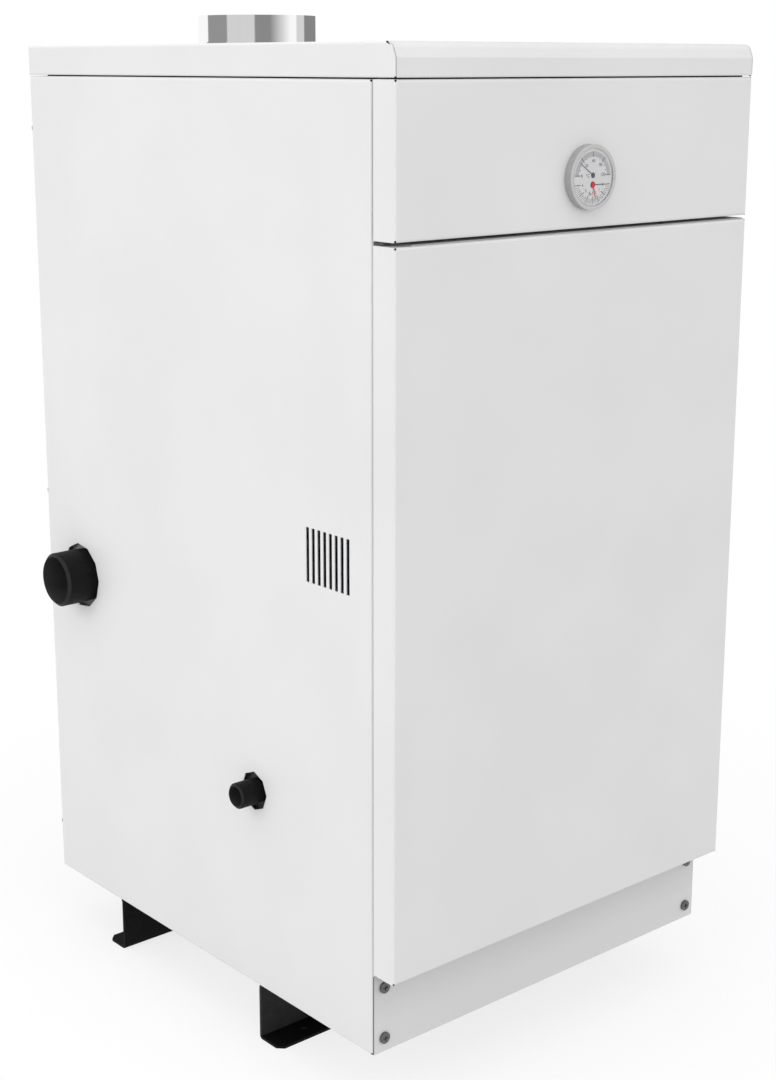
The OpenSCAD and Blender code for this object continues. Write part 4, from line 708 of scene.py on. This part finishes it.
def rod(bm, middle, radius, length, steps, turn=None):
    """A closed cylinder in a bmesh, along Z before its turn."""
    place = Matrix.Translation(middle) @ (turn or Matrix())
    bmesh.ops.create_cone(bm, cap_ends=True, segments=steps, radius1=radius, radius2=radius,
                          depth=length, matrix=place)


PLUG_R, PLUG_LEN, PLUG_DEEP = 0.94 * MM, 2 * MM, 0.9 * MM
PLUG_IN, PLUG_UP, COVER_PLUG_UP = 1.115 * MM, 1.14 * MM, 0.285 * MM


def relief_plugs(node, body, ups, sides=(-1, 1)):
    """Plugs at a panel's folded corners, at heights above its lower edge or below its upper one; their
    black is painted shade for the holes.
    """
    low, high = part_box(node)
    bm = bmesh.new()
    for side in sides:
        inward = Vector((-side, 1, 0)).normalized()
        corner = Vector((high.x - PLUG_IN if side > 0 else low.x + PLUG_IN, low.y + PLUG_IN, 0))
        for up in ups:
            middle = corner + inward * PLUG_DEEP
            middle.z = (low.z if up > 0 else high.z) + up
            turn = inward.to_track_quat("Z", "Y").to_matrix().to_4x4()
            rod(bm, middle, PLUG_R, PLUG_LEN, 20, turn)
    piece(node + "_plugs", bm, FINISHES["black_foam"], body=body)


relief_plugs("fascia", "boiler", (PLUG_UP, -PLUG_UP))
relief_plugs("door", "door", (PLUG_UP, -PLUG_UP))
relief_plugs("top_cover", "boiler", (COVER_PLUG_UP,))
relief_plugs("side_panel_left", "boiler", (PLUG_UP, -PLUG_UP), (-1,))
relief_plugs("side_panel_right", "boiler", (PLUG_UP, -PLUG_UP), (1,))


# Dark fills as painted shade: the slits in the cover's cheeks, the joints beside the plinth, the holes in
# the feet

SLIT_TURN = radians(24.5)
SLIT_IN, SLIT_BACK, SLIT_UP = 1.15 * MM, 9.83 * MM, 28.4 * MM
SLIT_SIZE = (1.8 * MM, 5.1 * MM, 1.05 * MM)
JOINT_OUT, JOINT_BACK, JOINT_W, JOINT_D, JOINT_SHORT = 0.32 * MM, 0.9 * MM, 0.6 * MM, 1.2 * MM, 0.6 * MM
FOOT_HOLE_IN, FOOT_HOLE_R, FOOT_PLUG_UP, FOOT_PLUG_T = 43.6 * MM, 3.55 * MM, 1.1 * MM, 1.6 * MM


def block(bm, middle, size, turn=None):
    """A box in a bmesh, given by its middle and its size along each axis."""
    place = Matrix.Translation(middle) @ (turn or Matrix())
    return bmesh.ops.create_cube(bm, size=1, matrix=place @ Matrix.Diagonal((*size, 1)))["verts"]


def slit_fills():
    """Black blocks in the slits where the cover's cheeks meet its rolled front: painted shade for the
    dark inside of the slits.
    """
    low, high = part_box("top_cover")
    bm = bmesh.new()
    for side in (-1, 1):
        middle = (side * (high.x - SLIT_IN), low.y + SLIT_BACK, low.z + SLIT_UP)
        block(bm, middle, SLIT_SIZE, Matrix.Rotation(SLIT_TURN, 4, "X"))
    piece("cover_slit_fills", bm, FINISHES["black_foam"])


def plinth_joints():
    """Dark strips between the plinth's ends and the side panels' folds: painted shade for the crevice
    there.
    """
    low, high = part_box("plinth")
    bm = bmesh.new()
    for side in (-1, 1):
        middle = (side * (high.x + JOINT_OUT), low.y + JOINT_BACK, (low.z + high.z) / 2)
        block(bm, middle, (JOINT_W, JOINT_D, high.z - low.z - JOINT_SHORT))
    piece("plinth_joints", bm, JOINT_SHADE_FOAM)


def foot_plugs():
    """Black plugs in the holes of the floor flanges: painted shade, so the holes show dark rather than
    the white floor.
    """
    bm = bmesh.new()
    for node in ("foot_front", "foot_rear"):
        low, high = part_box(node)
        for side in (-1, 1):
            middle = (side * (high.x - FOOT_HOLE_IN), (low.y + high.y) / 2, FOOT_PLUG_UP)
            rod(bm, middle, FOOT_HOLE_R, FOOT_PLUG_T, 24)
    piece("foot_hole_plugs", bm, FINISHES["black_foam"])


slit_fills()
plinth_joints()
foot_plugs()


# Inside the cabinet

STRAP_W, STRAP_T, STRAP_CORNER = 16 * MM, 0.5 * MM, 2 * MM
STRAP_HEIGHTS = {"lower": 0.32, "middle": 0.49, "upper": 0.61}
BUCKLE_W, BUCKLE_T, BUCKLE_OUT, BUCKLE_EXTRA = 30 * MM, 1.6 * MM, 1.2 * MM, 3 * MM
BUCKLE_EDGE, BUCKLE_SHARE = 0.6 * MM, 0.55


def wrap_strap(name, z):
    """Steel strap round the wool, with a crimped buckle at the front."""
    low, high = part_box("insulation_wrap")
    bm = bmesh.new()
    ring = [bm.verts.new((x, y, z - STRAP_W / 2)) for x, y in
            ((low.x, low.y), (high.x, low.y), (high.x, high.y), (low.x, high.y))]
    edges = [bm.edges.new(pair) for pair in zip(ring, ring[1:] + ring[:1])]
    grown = bmesh.ops.extrude_edge_only(bm, edges=edges)["geom"]
    risen = [g for g in grown if isinstance(g, bmesh.types.BMVert)]
    bmesh.ops.translate(bm, vec=(0, 0, STRAP_W), verts=risen)
    upright = [e for e in bm.edges if abs(e.verts[0].co.z - e.verts[1].co.z) > STRAP_W / 2]
    bmesh.ops.bevel(bm, geom=upright, offset=STRAP_CORNER, segments=3, affect="EDGES", profile=0.5,
                    material=-1)
    bmesh.ops.recalc_face_normals(bm, faces=bm.faces)
    bmesh.ops.solidify(bm, geom=list(bm.faces), thickness=-STRAP_T)
    place = (high.x * BUCKLE_SHARE, low.y - BUCKLE_OUT, z)
    buckle = set(block(bm, place, (BUCKLE_W, BUCKLE_T, STRAP_W + BUCKLE_EXTRA)))
    rims = [e for e in bm.edges if e.verts[0] in buckle and e.verts[1] in buckle]
    bmesh.ops.bevel(bm, geom=rims, offset=BUCKLE_EDGE, segments=2, affect="EDGES", profile=0.5,
                    material=-1)
    bmesh.ops.recalc_face_normals(bm, faces=bm.faces)
    piece(name, bm, FINISHES["galvanised"])


for level, height in STRAP_HEIGHTS.items():
    wrap_strap("wrap_strap_" + level, height)


INDEX_UP, INDEX_EDGE, INDEX_SIZE = 11.5 * MM, 0.12 * MM, (1.4 * MM, 0.4 * MM, 9 * MM)


def knob_index():
    """White line along the control knob's rib."""
    low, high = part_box("valve_knob")
    x, z = (low.x + high.x) / 2, (low.z + high.z) / 2
    bm = bmesh.new()
    block(bm, (x, low.y, z + INDEX_UP), INDEX_SIZE)
    bmesh.ops.bevel(bm, geom=list(bm.edges), offset=INDEX_EDGE, segments=1, affect="EDGES", profile=0.5,
                    material=-1)
    piece("valve_knob_index", bm, INDEX_WHITE, body="valve_knob")


knob_index()


# Studio: pale floor, soft lamps and a white surround

FLOOR_HALF, FLOOR_SEEN, FLOOR_BOUNCE = 9, 0.98, 0.6
AMBIENT = 0.84
LIT_POINT = Vector((0, 0, 0.5))
NEAR_GLOW, NEAR_R, FAR_R = 0.76, 0.4, 1.1


def floor():
    """White to the eye with a soft shadow; mid grey as a light from below."""
    bm = bmesh.new()
    bmesh.ops.create_grid(bm, x_segments=1, y_segments=1, size=FLOOR_HALF)
    data = bpy.data.meshes.new("floor")
    bm.to_mesh(data)
    bm.free()
    made = bpy.data.objects.new("floor", data)
    scene.collection.objects.link(made)
    f = Finish("studio_floor", tone(0.62), 0.9)
    path = f.add("ShaderNodeLightPath")
    seen = f.add("ShaderNodeMath", operation="MAXIMUM")
    f.link(path.outputs["Is Camera Ray"], seen.inputs[0])
    f.link(path.outputs["Is Glossy Ray"], seen.inputs[1])
    f.color(f.mix(seen.outputs["Value"], tone(FLOOR_BOUNCE), tone(FLOOR_SEEN)))
    white = f.add("ShaderNodeEmission")
    away = f.add("ShaderNodeVectorMath", operation="LENGTH")
    f.link(f.place, away.inputs[0])
    share = f.add("ShaderNodeMath", operation="MULTIPLY")
    f.link(f.spread(away.outputs["Value"], NEAR_GLOW, 1, NEAR_R, FAR_R), share.inputs[1])
    f.link(seen.outputs["Value"], share.inputs[0])
    blend = f.add("ShaderNodeMixShader")
    f.link(share.outputs["Value"], blend.inputs[0])
    f.link(f.shader.outputs["BSDF"], blend.inputs[1])
    f.link(white.outputs["Emission"], blend.inputs[2])
    f.link(blend.outputs["Shader"], f.tree.nodes["Material Output"].inputs["Surface"])
    data.materials.append(f.material)


def softbox(name, place, size, watts):
    """A large square lamp that faces the cabinet and isn't seen in polished metal."""
    data = bpy.data.lights.new(name, "AREA")
    data.shape = "RECTANGLE"
    data.size, data.size_y = size
    data.energy = watts
    lamp = bpy.data.objects.new(name, data)
    lamp.location = place
    lamp.rotation_euler = (LIT_POINT - Vector(place)).to_track_quat("-Z", "Y").to_euler()
    lamp.visible_glossy = False
    scene.collection.objects.link(lamp)


# What stands round the studio, as polished metal shows it: (degrees from +X, brightness) at each edge
STUDIO_BANDS = [(-180, 0.67), (-130.7, 0.67), (-130.7, 0.262), (-100.7, 0.262), (-58.7, 1), (-42.7, 1),
                (-42.7, 0.687), (-20.7, 0.687), (-20.7, 0.246), (53.3, 0.246), (53.3, 1), (123.3, 1),
                (123.3, 0.3), (173.3, 0.3), (173.3, 0.67), (180, 0.67)]
BAND_EDGE = 0.0015


def surround():
    """White to the eye, screens and gaps to gloss, even as a light."""
    world = bpy.data.worlds.new("studio")
    scene.world = world
    world.use_nodes = True
    tree = world.node_tree
    new, link = tree.nodes.new, tree.links.new
    background = tree.nodes["Background"]
    path = new("ShaderNodeLightPath")
    place = new("ShaderNodeTexCoord")
    split = new("ShaderNodeSeparateXYZ")
    link(place.outputs["Generated"], split.inputs["Vector"])
    turn = new("ShaderNodeMath")
    turn.operation = "ARCTAN2"
    link(split.outputs["Y"], turn.inputs[0])
    link(split.outputs["X"], turn.inputs[1])
    around = new("ShaderNodeMapRange")
    around.inputs["From Min"].default_value = -pi
    around.inputs["From Max"].default_value = pi
    link(turn.outputs["Value"], around.inputs["Value"])
    bands = new("ShaderNodeValToRGB")
    elements = bands.color_ramp.elements
    while len(elements) < len(STUDIO_BANDS):
        elements.new(0.5)
    for i, (element, (degrees, level)) in enumerate(zip(elements, STUDIO_BANDS)):
        element.position = (degrees + 180) / 360 + (BAND_EDGE if i % 2 == 0 else -BAND_EDGE)
        element.color = (*tone(level), 1)
    link(around.outputs["Result"], bands.inputs["Fac"])
    gloss = new("ShaderNodeMix")
    gloss.data_type = "RGBA"
    gloss.inputs[COLOR_A].default_value = (1, 1, 1, 1)
    link(path.outputs["Is Glossy Ray"], gloss.inputs[MIX_SHARE])
    link(bands.outputs["Color"], gloss.inputs[COLOR_B])
    link(gloss.outputs[MIXED_COLOR], background.inputs["Color"])
    seen = path.outputs["Is Camera Ray"]
    for ray in ("Is Glossy Ray", "Is Transmission Ray"):
        either = new("ShaderNodeMath")
        either.operation = "MAXIMUM"
        link(seen, either.inputs[0])
        link(path.outputs[ray], either.inputs[1])
        seen = either.outputs["Value"]
    strength = new("ShaderNodeMix")
    strength.inputs[VALUE_A].default_value = AMBIENT
    strength.inputs[VALUE_B].default_value = 1.0
    link(seen, strength.inputs[MIX_SHARE])
    link(strength.outputs[MIXED_VALUE], background.inputs["Strength"])


floor()
surround()
softbox("left_softbox", (-3.6, 0.2, 1.7), (2.6, 2.6), 33)
softbox("front_softbox", (0.6, -3.8, 1.6), (2.6, 2.2), 12)
softbox("top_softbox", (-0.6, -0.6, 3.8), (2.6, 2.6), 22)
